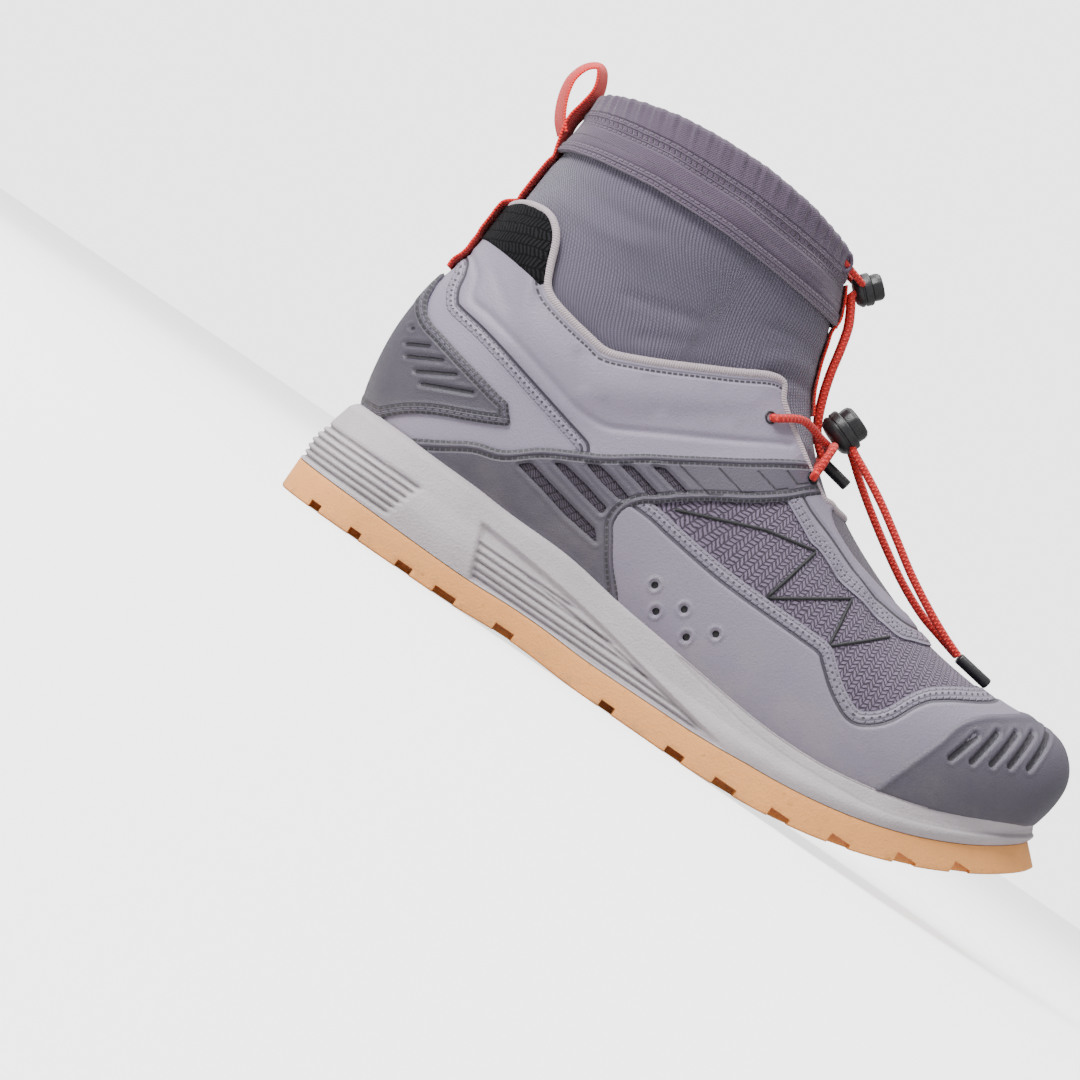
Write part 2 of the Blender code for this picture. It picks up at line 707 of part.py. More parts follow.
def throat_cutter():
    """The opening between the eyelet flaps: narrow at its end over the instep, straight up its sides."""
    start, end, low, high = along(THROAT_START), along(THROAT_END), up(THROAT_FLOOR), up(110)
    corner = THROAT_CORNER * THROAT_HALF
    plan = [(start, -THROAT_HALF), (end - corner, -THROAT_HALF), (end, -THROAT_HALF + corner),
            (end, THROAT_HALF - corner), (end - corner, THROAT_HALF), (start, THROAT_HALF)]
    count = len(plan)
    points = [(x, y, z) for z in (low, high) for x, y in plan]
    faces = [tuple(range(count)), tuple(range(count, 2 * count))[::-1]]
    faces += [(k, (k + 1) % count, count + (k + 1) % count, count + k) for k in range(count)]
    return new_object("throat", points, faces)


def peg(name, place, radius, sides=8):
    """A round cutter across the boot at a place in the side view."""
    x, z = side([place])[0]
    ring = [(x + radius * math.cos(2 * math.pi * k / sides), z + radius * math.sin(2 * math.pi * k / sides))
            for k in range(sides)]
    return prism(name, ring)


class Cutters:
    """Cutters that several pieces share."""

    def __init__(self):
        self.collar = above_collar()
        self.throat = throat_cutter()
        self.below_bed = ground_block("below_footbed", lambda x: footbed(x) + GAP, -BELOW)
        self.below_rim = ground_block("below_rim", lambda x: rim(x) + OVERLAY_IN - UPPER_WALL, -BELOW)
        self.skin = form_object("overlay_inside", OVERLAY_IN)
        self.outer_half = new_half("outer_half", -REACH, -GAP)
        self.inner_half = new_half("inner_half", GAP, REACH)
        self.eyelets = [peg(f"eyelet_hole_{k}", place, EYELET_HOLE / 2) for k, place in enumerate(EYELETS)]


def new_half(name, low, high):
    frame = [(along(-10), -BELOW), (along(110), -BELOW), (along(110), up(130)), (along(-10), up(130))]
    return prism(name, frame, low, high)


def make_upper(cut):
    """The shoe's own wall: hollow, open at the collar and the throat, and underneath on the footbed."""
    upper = form_object("upper", UPPER_OUT, "coated_fabric")
    boolean(upper, form_object("upper_inside", GAP, padded=False))
    boolean(upper, cut.collar)
    boolean(upper, cut.throat)
    boolean(upper, cut.below_bed)
    for hole in cut.eyelets:
        boolean(upper, hole)
    return upper


def overlay(name, thick, polygon, finish, cut, half=None, holes=()):
    """A piece laid on the upper: what lies between two larger forms inside a side outline."""
    piece = form_object(name, OVERLAY_IN + thick, finish)
    boolean(piece, cut.skin)
    boolean(piece, prism(f"{name}_outline", polygon), "INTERSECT")
    boolean(piece, cut.below_rim)
    if half:
        boolean(piece, half, "INTERSECT")
    for hole in holes:
        boolean(piece, hole)
    return piece


def make_toe_cap(cut):
    rear = smooth_run(side(CAP_REAR), 2)
    polygon = rear + [(along(106), rear[-1][1]), (along(106), rear[0][1])]
    return overlay("toe_cap", CAP_THICK, polygon, "moulded_grey", cut)


def make_toe_guard(cut):
    """The light rand round the forefoot: from the side cage to the toe cap, over the toe behind it."""
    front = [(x - 2 * GAP, z) for x, z in smooth_run(side(CAP_REAR), 2)]
    top = outline(GUARD_TOP)
    front = [p for p in front if p[1] < top[-1][1]]
    cage = [p for p in outline(CAGE_LINE) if up(-6) < p[1] < top[0][1] and p[0] > along(35)]
    cage = [(x + 2 * GAP, z) for x, z in cage]
    polygon = top + front[::-1] + [(cage[0][0], front[0][1])] + cage
    return overlay("toe_guard", GUARD_THICK, polygon, "coated_light", cut)


def make_heel_counter(cut):
    front = outline(COUNTER_FRONT)
    polygon = front + [(along(-6), front[-1][1]), (along(-6), front[0][1])]
    return overlay("heel_counter", COUNTER_THICK, polygon, "moulded_grey", cut)


def make_cages(cut):
    slots = [prism(f"cage_slot_{n}", side(slot)) for n, slot in enumerate(CAGE_SLOTS)]
    holes = [cut.throat, *slots, *cut.eyelets[1:]]
    for name, half in (("outer_cage", cut.outer_half), ("inner_cage", cut.inner_half)):
        overlay(name, CAGE_THICK, outline(CAGE_LINE), "moulded_grey", cut, half, holes)


def make_vamp_plate(cut):
    low = smooth_run(side(PLATE_LOW), 2) + smooth_run(side(PLATE_FRONT), 2)[1:]
    (_, rear_low), (rear_along, rear_high) = side([PLATE_LOW[0], PLATE_REAR])
    cage = [(x + 2 * GAP, z) for x, z in outline(CAGE_LINE) if low[0][0] < x < rear_along]
    cage = [p for p in cage if rear_low < p[1] < rear_high]
    polygon = low + [(low[-1][0], up(60)), (rear_along, up(60))] + cage[::-1]
    return overlay("vamp_plate", PLATE_THICK, polygon, "coated_light", cut, holes=[cut.throat])


def make_gaiter():
    """The knitted sock: tucked inside the collar and under the throat, up into the cuff."""
    gaiter = form_object("gaiter", 0.0, "knit", padded=False)
    boolean(gaiter, form_object("gaiter_inside", -GAITER_WALL, padded=False))
    low = smooth_run(side(GAITER_LOW), 2)
    high = [(low[-1][0], up(GAITER_TOP)), (low[0][0], up(GAITER_TOP))]
    boolean(gaiter, prism("gaiter_outline", low + high), "INTERSECT")
    return gaiter


def make_cuff():
    cuff = form_object("cuff", GAP + CUFF_WALL, "woven", padded=False)
    boolean(cuff, form_object("cuff_inside", GAP, padded=False))
    hem = smooth_run(side(CUFF_HEM), 2)
    top = smooth_run(side(CUFF_TOP), 2)
    boolean(cuff, prism("cuff_outline", hem + top[::-1]), "INTERSECT")
    return cuff


def strip(name, path, wide, thick, finish=None, middle=0.0):
    """A flat band along a path in the side view."""
    points = []
    for k, (x, z) in enumerate(path):
        before, after = path[max(k - 1, 0)], path[min(k + 1, len(path) - 1)]
        tangent = Vector((after[0] - before[0], after[1] - before[1])).normalized()
        nx, nz = -tangent.y * thick / 2, tangent.x * thick / 2
        for y in (middle - wide / 2, middle + wide / 2):
            points += [(x - nx, y, z - nz), (x + nx, y, z + nz)]
    faces = []
    for k in range(len(path) - 1):
        a, b = 4 * k, 4 * k + 4
        faces += [(a, a + 1, b + 1, b), (a + 1, a + 3, b + 3, b + 1)]
        faces += [(a + 3, a + 2, b + 2, b + 3), (a + 2, a, b, b + 2)]
    last = 4 * (len(path) - 1)
    faces += [(0, 2, 3, 1), (last, last + 1, last + 3, last + 2)]
    return new_object(name, points, faces, finish)


LOOP_LEG = ((4.7, 93.5), (4.4, 97.6), (3.0, 100.4), (1.6, 98.4), (1.0, 93.9), (1.3, 89.2), (2.3, 84.5),
            (3.6, 81.0))
STRAP_FROM, STRAP_TO, STRAP_STEP = 39.5, 84.0, 3.7


def standing_off(tree, z, direction, clearance):
    """Where a band lies on a surface in the middle plane, seen from behind or from in front."""
    start = (direction * -LENGTH, 0.0, z)
    return hit(tree, start, (direction, 0, 0)).x - direction * clearance


def make_pull_loop():
    """One band: sewn up the heel and the gaiter, then a free finger loop behind the cuff."""
    shoe = surface_tree(UPPER_OUT)
    sock = surface_tree(0.0, False)
    cuff = surface_tree(GAP + CUFF_WALL, False)
    clear = GAP + WEBBING_THICK / 2
    path = []
    for share in np.arange(STRAP_FROM, STRAP_TO, STRAP_STEP):
        z = up(share)
        tree = shoe if share < 62 else sock if share < 75 else cuff
        path.append((standing_off(tree, z, 1.0, clear), z))
    leg = smooth_run([path[-1], *side(LOOP_LEG)], 2)[1:]
    band = strip("pull_loop", path + leg, WEBBING_WIDE, WEBBING_THICK, "webbing")
    under = [(x - GAP, z) for x, z in (path[-2], path[-3])]
    tail = smooth_run([side(LOOP_LEG)[-1], *under], 2)
    boolean(band, strip("pull_loop_tail", tail, WEBBING_WIDE * 0.98, WEBBING_THICK), "UNION")
    return band


FRONT_BAND = (86.0, 82.4, 79.0, 76.0, 72.0, 68.0, 64.8, 61.6)


def make_front_band():
    sock, cuff = surface_tree(0.0, False), surface_tree(GAP + CUFF_WALL, False)
    clear = GAP + WEBBING_THICK / 2
    path = []
    for share in FRONT_BAND:
        tree = cuff if share > 77 else sock
        path.append((standing_off(tree, up(share), -1.0, clear + GAP), up(share)))
    return strip("front_band", path, WEBBING_WIDE, WEBBING_THICK, "webbing")


def tube(name, points, radius, finish=None, sides=6):
    """A round cord as a mesh, for cords that are joined where they cross."""
    rings, normal = [], None
    for k, point in enumerate(points):
        before, after = Vector(points[max(k - 1, 0)]), Vector(points[min(k + 1, len(points) - 1)])
        tangent = (after - before).normalized()
        if normal is None:
            normal = tangent.orthogonal()
        normal = (normal - tangent * normal.dot(tangent)).normalized()
        other = tangent.cross(normal)
        rings.append([Vector(point) + radius * (math.cos(a) * normal + math.sin(a) * other)
                      for a in (2 * math.pi * s / sides for s in range(sides))])
    return new_object(name, *closed_rings(np.array([[tuple(p) for p in ring] for ring in rings])), finish)


def cord(name, points, diameter, spacing=3.0):
    """A free cord: a bevelled curve with a point every few diameters on a smooth line."""
    line = np.array(smooth_run(points, 12))
    length = np.concatenate([[0], np.cumsum(np.linalg.norm(np.diff(line, axis=0), axis=1))])
    count = max(int(length[-1] / (spacing * diameter)), 3)
    stations = np.linspace(0, length[-1], count + 1)
    route = np.stack([np.interp(stations, length, line[:, axis]) for axis in range(3)], axis=1)
    data = bpy.data.curves.new(name, "CURVE")
    data.dimensions = "3D"
    data.bevel_depth = diameter / 2
    data.bevel_resolution = 2
    data.use_fill_caps = True
    spline = data.splines.new("POLY")
    spline.points.add(len(route) - 1)
    for point, place in zip(spline.points, route):
        point.co = (*place, 1.0)
    data.materials.append(material("cord"))
    obj = bpy.data.objects.new(name, data)
    bpy.context.scene.collection.objects.link(obj)
    return obj


# Cord routes, in percent of the length along, metres across, percent of the upper height up.
LACE_ENDS = {
    "lace_end_outer": (
        (54.6, -0.0042, 57.2), (57.2, -0.0046, 54.6), (60.4, -0.0048, 51.0), (64.0, -0.0046, 46.4),
        (68.0, -0.0040, 41.2), (72.0, -0.0034, 36.8), (75.4, -0.0024, 33.6), (78.2, -0.0018, 31.4),
    ),
    "lace_end_inner": (
        (54.6, 0.0042, 56.8), (57.0, 0.0048, 53.0), (60.2, 0.0050, 48.4), (64.0, 0.0048, 43.4),
        (68.0, 0.0042, 38.6), (72.0, 0.0036, 34.9), (75.4, 0.0024, 32.9), (78.2, 0.0018, 31.4),
    ),
}
LACE_TIP = ((78.45, 31.2), (83.1, 29.8))
DRAW_ENDS = ((43.25, 0.0038, 88.7), (44.2, 0.0048, 86.0), (45.2, 0.0058, 82.0), (45.9, 0.0064, 76.8),
             (46.6, 0.0064, 70.2), (47.5, 0.0060, 64.2), (48.75, 0.0050, 58.4), (50.22, 0.0024, 54.45),
             (51.8, 0.0016, 51.9))
DRAW_TIP = ((52.1, 51.6), (55.8, 50.2))
LOWER_LOCK, LOWER_LEAN = (51.7, 60.2), 20
UPPER_LOCK, UPPER_LEAN = (44.3, 91.8), 42
LACE_MEET = (51.6, 55.4)
GROMMET_UP = 93.6


def route(points, sign=1.0):
    return [(along(a), sign * y, up(u)) for a, y, u in points]


# A cord lock's barrel and its push button: percent of the height, percent of the half width, how oval.
BARREL = ((0, 80, 1.0), (20, 98, 1.02), (90, 100, 1.04), (100, 93, 1.0))
BUTTON = ((6, 80, 1.0), (70, 84, 1.0), (100, 68, 1.0))
LOCK_BELOW = 0.62


def make_lock(name, place, lean, wide, high, button):
    """A cord lock: an oval barrel with a round push button on its end, leaning forwards."""
    x, z = side([place])[0]
    axis = Vector((math.sin(math.radians(lean)), 0, math.cos(math.radians(lean))))
    front = Vector((axis.z, 0, -axis.x))
    across = Vector((0, 1, 0))
    centre = Vector((x, 0, z))

    def turned(levels, start, tall, sides=14):
        rings = []
        for rise, radius, oval in levels:
            middle = centre + axis * (start + rise * PERCENT * tall)
            reach = radius * PERCENT * wide / 2
            turns = [2 * math.pi * s / sides for s in range(sides)]
            rings.append([
                tuple(middle + front * (reach * math.cos(a)) + across * (reach * oval * math.sin(a)))
                for a in turns
            ])
        return closed_rings(np.array(rings))

    top = high * (1 - LOCK_BELOW)
    new_object(f"{name}_body", *turned(BARREL, -high * LOCK_BELOW, high), finish="hard_black")
    new_object(f"{name}_button", *turned(BUTTON, top, button), finish="hard_black")


# How a lace runs from its eyelet to the middle: shares of the way along and up, of the throat's half
# width across, and of the rise over the flap.
BAR_SHARES = ((0.42, 0.62, 1.103, 1.0), (0.80, 0.92, 0.52, 0.2))


def lace_bar(tree, eyelet, meet, sign, lift, rise):
    """A lace from an eyelet over the flap to the middle of the throat."""
    x, z = side([eyelet])[0]
    at = hit(tree, (x, sign * LENGTH, z), (0, -sign, 0))
    mx, mz = side([meet])[0]
    near = Vector((x, at.y + sign * lift, z))
    found = [tuple(near)]
    for ahead, higher, across, lifted in BAR_SHARES:
        height = z + higher * (mz - z) + lifted * rise
        found.append((x + ahead * (mx - x), sign * across * THROAT_HALF, height))
    return found + [(mx, 0.0, mz)]


def make_lace_crossing():
    """Two laces across the throat that meet behind the lock, as one solid."""
    tree = surface_tree(OVERLAY_IN + CAGE_THICK)
    bars = []
    for number, (eyelet, rise) in enumerate(zip(EYELETS, (LACE, 1.4 * LACE))):
        outer = lace_bar(tree, eyelet, LACE_MEET, -1, LACE / 2 + 2 * GAP, rise)
        inner = lace_bar(tree, eyelet, LACE_MEET, 1, LACE / 2 + 2 * GAP, rise)
        path = smooth_run(outer + inner[:-1][::-1], 2)
        name = "lace_crossing" if number == 0 else "lace_lower_bar"
        bars.append(tube(name, path, LACE / 2, "cord" if number == 0 else None))
    boolean(bars[0], bars[1], "UNION")
    return bars[0]


def make_tip(name, places, wide, high, sides=10):
    """The hard end that two cords share: an oval barrel."""
    (x0, z0), (x1, z1) = side(places)
    tangent = Vector((x1 - x0, 0, z1 - z0)).normalized()
    lift = Vector((-tangent.z, 0, tangent.x)) * high / 2
    across = Vector((0, wide / 2, 0))
    rings = [
        [tuple(Vector((x, 0, z)) + lift * math.cos(a) + across * math.sin(a))
         for a in (2 * math.pi * s / sides for s in range(sides))]
        for x, z in ((x0, z0), (x1, z1))
    ]
    return new_object(name, *closed_rings(np.array(rings)), "hard_black")


def make_grommets():
    """Rings where the drawcord leaves the cuff's tunnel."""
    tree = surface_tree(GAP + CUFF_WALL, False)
    for name, sign in (("outer_grommet", -1), ("inner_grommet", 1)):
        start = Vector((LENGTH, sign * GROMMET_APART / 2, up(GROMMET_UP)))
        place, facing = tree.ray_cast(start, Vector((-1, 0, 0)))[:2]
        bpy.ops.mesh.primitive_torus_add(
            major_segments=10, minor_segments=5, major_radius=(GROMMET - GROMMET_THICK) / 2,
            minor_radius=GROMMET_THICK / 2, location=place + facing * (GROMMET_THICK / 2 + 2 * GAP),
            rotation=facing.to_track_quat("Z", "Y").to_euler())
        ring = bpy.context.object
        ring.name = name
        ring.data.materials.append(material("hard_black"))
        ring.data.shade_smooth()


def build():
    clear_scene()
    cut = Cutters()
    rim_loop = rim_outline()
    make_outsole()
    make_midsole(rim_loop)
    make_insole()
    make_upper(cut)
    make_toe_cap(cut)
    make_toe_guard(cut)
    make_heel_counter(cut)
    make_cages(cut)
    make_vamp_plate(cut)
    make_gaiter()
    make_cuff()
    make_pull_loop()
    make_front_band()
    make_lace_crossing()
    for name, points in LACE_ENDS.items():
        cord(name, route(points), LACE)
    make_tip("lace_tip", LACE_TIP, LACE * 2.3, CORD_TIP)
    cord("drawcord_outer", route(DRAW_ENDS, -1), DRAWCORD)
    cord("drawcord_inner", route(DRAW_ENDS), DRAWCORD)
    make_tip("drawcord_tip", DRAW_TIP, DRAWCORD * 2.3, CORD_TIP)
    make_lock("lower_lock", LOWER_LOCK, LOWER_LEAN, LOCK_WIDE, LOCK_HIGH, LOCK_BUTTON)
    make_lock("upper_lock", UPPER_LOCK, UPPER_LEAN, LOCK_WIDE * 0.75, LOCK_HIGH * 0.85, LOCK_BUTTON * 0.85)
    make_grommets()


build()
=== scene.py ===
"""The looks of a right trail boot with a knitted gaiter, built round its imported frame.

Metres, +Z up, toe towards +X, the outer side of the foot towards -Y. Tables give places on the boot in
millimetres of a 300 mm sole: s forwards from the back of the heel, h up from the floor under the tread.
"""

import math

import bpy
import numpy as np
from bpy.props import FloatProperty, FloatVectorProperty, PointerProperty
from mathutils import Matrix, Vector
from mathutils.bvhtree import BVHTree


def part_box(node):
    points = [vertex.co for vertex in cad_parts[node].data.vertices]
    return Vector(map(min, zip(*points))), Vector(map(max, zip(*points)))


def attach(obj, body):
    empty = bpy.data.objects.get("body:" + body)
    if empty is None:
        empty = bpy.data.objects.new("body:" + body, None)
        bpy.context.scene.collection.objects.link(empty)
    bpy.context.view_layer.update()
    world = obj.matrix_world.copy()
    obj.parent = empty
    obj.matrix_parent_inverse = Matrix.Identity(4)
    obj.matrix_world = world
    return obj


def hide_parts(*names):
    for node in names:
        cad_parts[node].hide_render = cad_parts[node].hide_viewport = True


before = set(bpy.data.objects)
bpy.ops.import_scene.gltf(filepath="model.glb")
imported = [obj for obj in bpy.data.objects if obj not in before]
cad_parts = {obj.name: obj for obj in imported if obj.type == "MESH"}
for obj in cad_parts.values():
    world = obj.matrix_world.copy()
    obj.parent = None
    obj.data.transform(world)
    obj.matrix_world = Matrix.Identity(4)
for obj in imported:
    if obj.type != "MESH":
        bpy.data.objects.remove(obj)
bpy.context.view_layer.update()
SOLE_LOW, SOLE_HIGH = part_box("outsole")

bl_info = {
    "name": "Gaiter Trail Boot",
    "version": (1, 0, 0),
    "blender": (4, 5, 0),
    "location": "3D View > Sidebar > Boot",
    "description": "Builds the panels, cloth, cords and sole of a trail boot round its frame",
    "category": "Object",
}

# Driving sizes, the sole's length from the frame. The tables' floor lies RISE above the frame's.
LENGTH = SOLE_HIGH.x - SOLE_LOW.x
MM = LENGTH / 300
RISE = 2.0
BALL_WIDTH = 110 * MM
HEEL_WIDTH = 82 * MM
SHAFT_WIDTH = 78 * MM
HEEL_STACK = 40 * MM
UPPER_HEIGHT = 148 * MM
TOE_SPRING = 39.4 * MM
ARCH_RISE = 1.2 * MM
OUTSOLE = 11 * MM
BASIN = 8.5 * MM
UNDER_FOOTBED = 6 * MM
GAP = 0.3 * MM
LIP = 2.0 * MM
PERCENT = 0.01

# Offsets of the layers from the form
UPPER_OUT = 2.3 * MM
CUFF_OUT = 2.1 * MM

# Walls of the pieces and steps of their grids, in millimetres
SHELL_WALL = 2.0
GAITER_WALL = 1.5
CUFF_WALL = 1.8
PANEL_WALL = 0.8
SHELL_STEP = 1.6
PANEL_STEP = 0.7
GAITER_STEP = 1.1
CUFF_STEP = 0.8

# Rows of the gaiter's and the cuff's grids, and the section of the form where the cuff's grid starts
GAITER_ROWS = 74
CUFF_ROWS = 52
CUFF_SECTION = 17.0

# The opening between the eyelet flaps, in millimetres
THROAT_HALF = 19.5
THROAT_SPAN = (114, 163.8)
THROAT_FLOOR = 90.0
THROAT_CORNER = 5.0

# Percent of the length, then thickness and rim height as percent of the outsole and the heel stack.
SOLE_HEIGHTS = (
    # along, outsole, stack
    (0.0, 107, 100),
    (20.0, 95, 96.5),
    (33.0, 91, 90),
    (46.5, 96, 80),
    (55.0, 100, 73),
    (63.0, 110, 65.5),
    (70.0, 107, 60.5),
    (77.0, 103, 58),
    (83.0, 100, 56),
    (90.0, 100, 56),
    (100.0, 105, 53),
)
SPRING_START = 55.0
SPRING_POWER = 2.3
ARCH_SPAN = (23, 43)

# Outline of the outsole: percent of the length, then half widths in percent of the ball or heel width.
SOLE_OUTLINE = (
    # along, width, outer, inner
    (1.0, "heel", 21.0, 21.0),
    (3.6, "heel", 36.0, 36.0),
    (8.0, "heel", 45.5, 45.0),
    (14.0, "heel", 49.5, 47.5),
    (23.0, "heel", 50.0, 45.5),
    (33.0, "ball", 36.6, 31.0),
    (43.0, "ball", 39.5, 30.5),
    (54.0, "ball", 44.6, 36.0),
    (64.0, "ball", 49.0, 43.3),
    (73.0, "ball", 50.5, 48.4),
    (81.0, "ball", 48.0, 49.5),
    (88.0, "ball", 41.4, 47.3),
    (93.5, "ball", 31.5, 41.5),
    (97.4, "ball", 19.5, 32.0),
    (99.4, "ball", 7.0, 22.0),
)
TOE_TIP_INWARD = 7.3

# Sections of the form that the boot is built round, from the toe to the cuff. Each lies on a chord
# from a back point to a front point: percent of the length along, percent of the upper height above
# the heel rim. A section marked "sole" has its back point under the footbed.
FORM = (
    # front along, up, back along, up, width, outer, inner, inward, widest, back square, front square
    (96.5, 17.6, 96.2, 12.2, "ball", 3.0, 3.0, 6.0, 50, 2.0, 2.0),
    (96.3, 20.9, 95.4, 7.4, "ball", 14.0, 14.0, 5.5, 46, 2.1, 2.1),
    (95.2, 24.0, 94.0, 1.5, "ball", 23.5, 23.5, 5.0, 42, 2.3, 2.2),
    (93.4, 26.2, 92.0, "sole", "ball", 30.0, 30.0, 4.6, 38, 2.6, 2.3),
    (90.2, 26.6, 89.0, "sole", "ball", 35.4, 35.4, 4.0, 37, 2.9, 2.3),
    (85.6, 26.1, 85.0, "sole", "ball", 40.2, 40.2, 2.6, 36, 3.0, 2.3),
    (80.0, 26.6, 80.0, "sole", "ball", 43.2, 43.2, 1.0, 35, 3.0, 2.2),
    (73.3, 28.6, 73.3, "sole", "ball", 44.6, 44.2, 0.0, 34, 3.0, 2.1),
    (66.7, 33.0, 66.0, "sole", "ball", 44.6, 42.2, 0.0, 33, 3.0, 2.0),
    (60.7, 38.0, 58.5, "sole", "ball", 43.4, 39.0, 0.0, 33, 2.9, 2.0),
    (56.0, 43.2, 51.0, "sole", "ball", 41.4, 36.2, 0.0, 34, 2.8, 2.0),
    (52.3, 48.8, 43.0, "sole", "ball", 38.6, 33.8, 0.0, 36, 2.7, 2.0),
    (49.8, 53.6, 34.0, "sole", "ball", 36.0, 32.4, 0.0, 38, 2.6, 2.0),
    (48.2, 57.4, 24.0, "sole", "heel", 45.6, 43.0, 0.0, 40, 2.5, 2.0),
    (47.2, 60.2, 14.0, "sole", "heel", 44.8, 43.0, 0.0, 42, 2.4, 2.0),
    (46.4, 62.8, 6.6, "sole", "heel", 44.0, 43.0, 0.0, 44, 2.3, 2.0),
    (45.8, 65.2, 3.7, 0.5, "heel", 43.6, 42.8, 0.0, 45, 2.3, 2.0),
    (45.2, 68.0, 2.4, 10.5, "heel", 43.4, 42.8, 0.0, 46, 2.3, 2.0),
    (44.6, 71.4, 1.9, 22.0, "heel", 43.2, 42.6, 0.0, 47, 2.2, 2.0),
    (44.1, 75.2, 2.6, 35.0, "heel", 43.2, 42.6, 0.0, 47, 2.1, 2.0),
    (43.6, 79.0, 4.5, 48.5, "shaft", 46.2, 45.8, 0.0, 48, 2.1, 2.0),
    (42.6, 83.6, 4.7, 62.5, "shaft", 48.6, 48.4, 0.0, 49, 2.0, 2.0),
    (41.4, 88.6, 5.2, 76.5, "shaft", 49.4, 49.4, 0.0, 50, 2.0, 2.0),
    (40.4, 94.2, 5.9, 89.0, "shaft", 47.6, 47.6, 0.0, 50, 2.0, 2.0),
    (39.8, 103.0, 6.4, 102.0, "shaft", 46.0, 46.0, 0.0, 50, 2.0, 2.0),
)


# Places and lines


def place(s, h):
    """World x and z of a place in the side view."""
    return SOLE_LOW.x + s * MM, (h + RISE) * MM


def smooth_run(points, steps):
    """Points on a smooth curve through the given ones, its ends included."""
    p = np.array([points[0], *points, points[-1]], float)
    p[0] = 2 * p[1] - p[2]
    p[-1] = 2 * p[-2] - p[-3]
    found = []
    for i in range(1, len(p) - 2):
        for t in np.arange(steps) / steps:
            found.append(
                0.5 * (2 * p[i] + (p[i + 1] - p[i - 1]) * t
                       + (2 * p[i - 1] - 5 * p[i] + 4 * p[i + 1] - p[i + 2]) * t ** 2
                       + (3 * p[i] - p[i - 1] - 3 * p[i + 1] + p[i + 2]) * t ** 3)
            )
    found.append(p[-2])
    return np.array(found)


def run_along(points):
    """The length along a chain of points up to each of them."""
    return np.concatenate([[0], np.cumsum(np.linalg.norm(np.diff(points, axis=0), axis=1))])


def resampled(points, count):
    """A chain of points cut into equal lengths."""
    gone = run_along(points)
    even = np.linspace(0, gone[-1], count + 1)
    return np.stack([np.interp(even, gone, points[:, axis]) for axis in range(3)], axis=1)


def drawn(*runs, steps=6):
    """One line through runs that meet at corners, each run of three points or more smoothed."""
    found = []
    for run in runs:
        points = smooth_run(run, steps) if len(run) > 2 else np.array(run, float)
        found += [p for p in points if not found or np.hypot(*(p - found[-1])) > 0.05]
    return np.array(found)


def step_up(low, high, value):
    """A smooth step from 0 at low to 1 at high."""
    t = np.clip((value - low) / (high - low), 0, 1)
    return t * t * (3 - 2 * t)


def trough(value, at, half):
    """1 where a value is reached, falling softly to 0 on both sides."""
    return np.exp(-((value - at) / half) ** 2)


def hump(centre, half, value):
    """A round hump, 1 at its centre and 0 past its half width."""
    return np.clip(1 - ((value - centre) / half) ** 2, 0, 1) ** 2


class Line:
    """Distances from a line in the side view, in millimetres of the boot."""

    def __init__(self, points, closed=False):
        self.points = np.asarray(points, float)
        self.closed = closed

    def near(self, s, h, reach=25.0):
        """Distance to the line (positive inside a closed one) and length along it."""
        flat = np.stack([np.ravel(s), np.ravel(h)], axis=1)
        ends = np.roll(self.points, -1, axis=0) if self.closed else self.points[1:]
        starts = self.points if self.closed else self.points[:-1]
        low, high = self.points.min(axis=0) - reach, self.points.max(axis=0) + reach
        close = np.all((flat > low) & (flat < high), axis=1)
        part = flat[close]
        best = np.full(len(part), 1e9)
        run = np.zeros(len(part))
        inside = np.zeros(len(part), bool)
        passed = 0.0
        for a, b in zip(starts, ends):
            edge = b - a
            length = np.hypot(*edge)
            t = np.clip(((part - a) @ edge) / length ** 2, 0, 1)
            foot = a + t[:, None] * edge
            gap = np.hypot(*(part - foot).T)
            nearer = gap < best
            best = np.where(nearer, gap, best)
            run = np.where(nearer, passed + t * length, run)
            if self.closed:
                crosses = (a[1] > part[:, 1]) != (b[1] > part[:, 1])
                rise = np.where(abs(edge[1]) > 1e-12, edge[1], 1e-12)
                inside ^= crosses & (part[:, 0] < a[0] + (part[:, 1] - a[1]) * edge[0] / rise)
            passed += length
        distance = np.full(len(flat), -reach if self.closed else reach)
        distance[close] = np.where(inside, best, -best) if self.closed else best
        runs = np.zeros(len(flat))
        runs[close] = run
        return distance.reshape(np.shape(s)), runs.reshape(np.shape(s))


class Lines:
    """Several lines taken together: the nearest one counts."""

    def __init__(self, *lines):
        self.lines = [Line(points) for points in lines]

    def near(self, s, h, reach=25.0):
        gaps, runs = (np.array(part) for part in zip(*[line.near(s, h, reach) for line in self.lines]))
        first = gaps.argmin(axis=0)[None]
        return np.take_along_axis(gaps, first, 0)[0], np.take_along_axis(runs, first, 0)[0]


# The sole's heights and the form


def share_of(x):
    return (x - SOLE_LOW.x) / LENGTH / PERCENT


def along(share):
    return SOLE_LOW.x + share * PERCENT * LENGTH


def up(share):
    return HEEL_STACK + share * PERCENT * UPPER_HEIGHT


def sole_heights(x):
    rows = np.array(SOLE_HEIGHTS)
    share = share_of(x)
    thick = np.interp(share, rows[:, 0], rows[:, 1]) * PERCENT * OUTSOLE
    return thick, np.interp(share, rows[:, 0], rows[:, 2]) * PERCENT * HEEL_STACK


def underside(x):
    share = share_of(x)
    ahead = np.maximum(share - SPRING_START, 0) / (100 - SPRING_START)
    middle = np.clip((share - ARCH_SPAN[0]) / (ARCH_SPAN[1] - ARCH_SPAN[0]), 0, 1)
    return TOE_SPRING * ahead ** SPRING_POWER + ARCH_RISE * np.sin(np.pi * middle) ** 2


def slope(x):
    return (underside(x + MM) - underside(x - MM)) / (2 * MM)


def outsole_top(x):
    return underside(x) + sole_heights(x)[0]


def rim(x):
    return underside(x) + sole_heights(x)[1]


def footbed(x):
    return rim(x) - BASIN


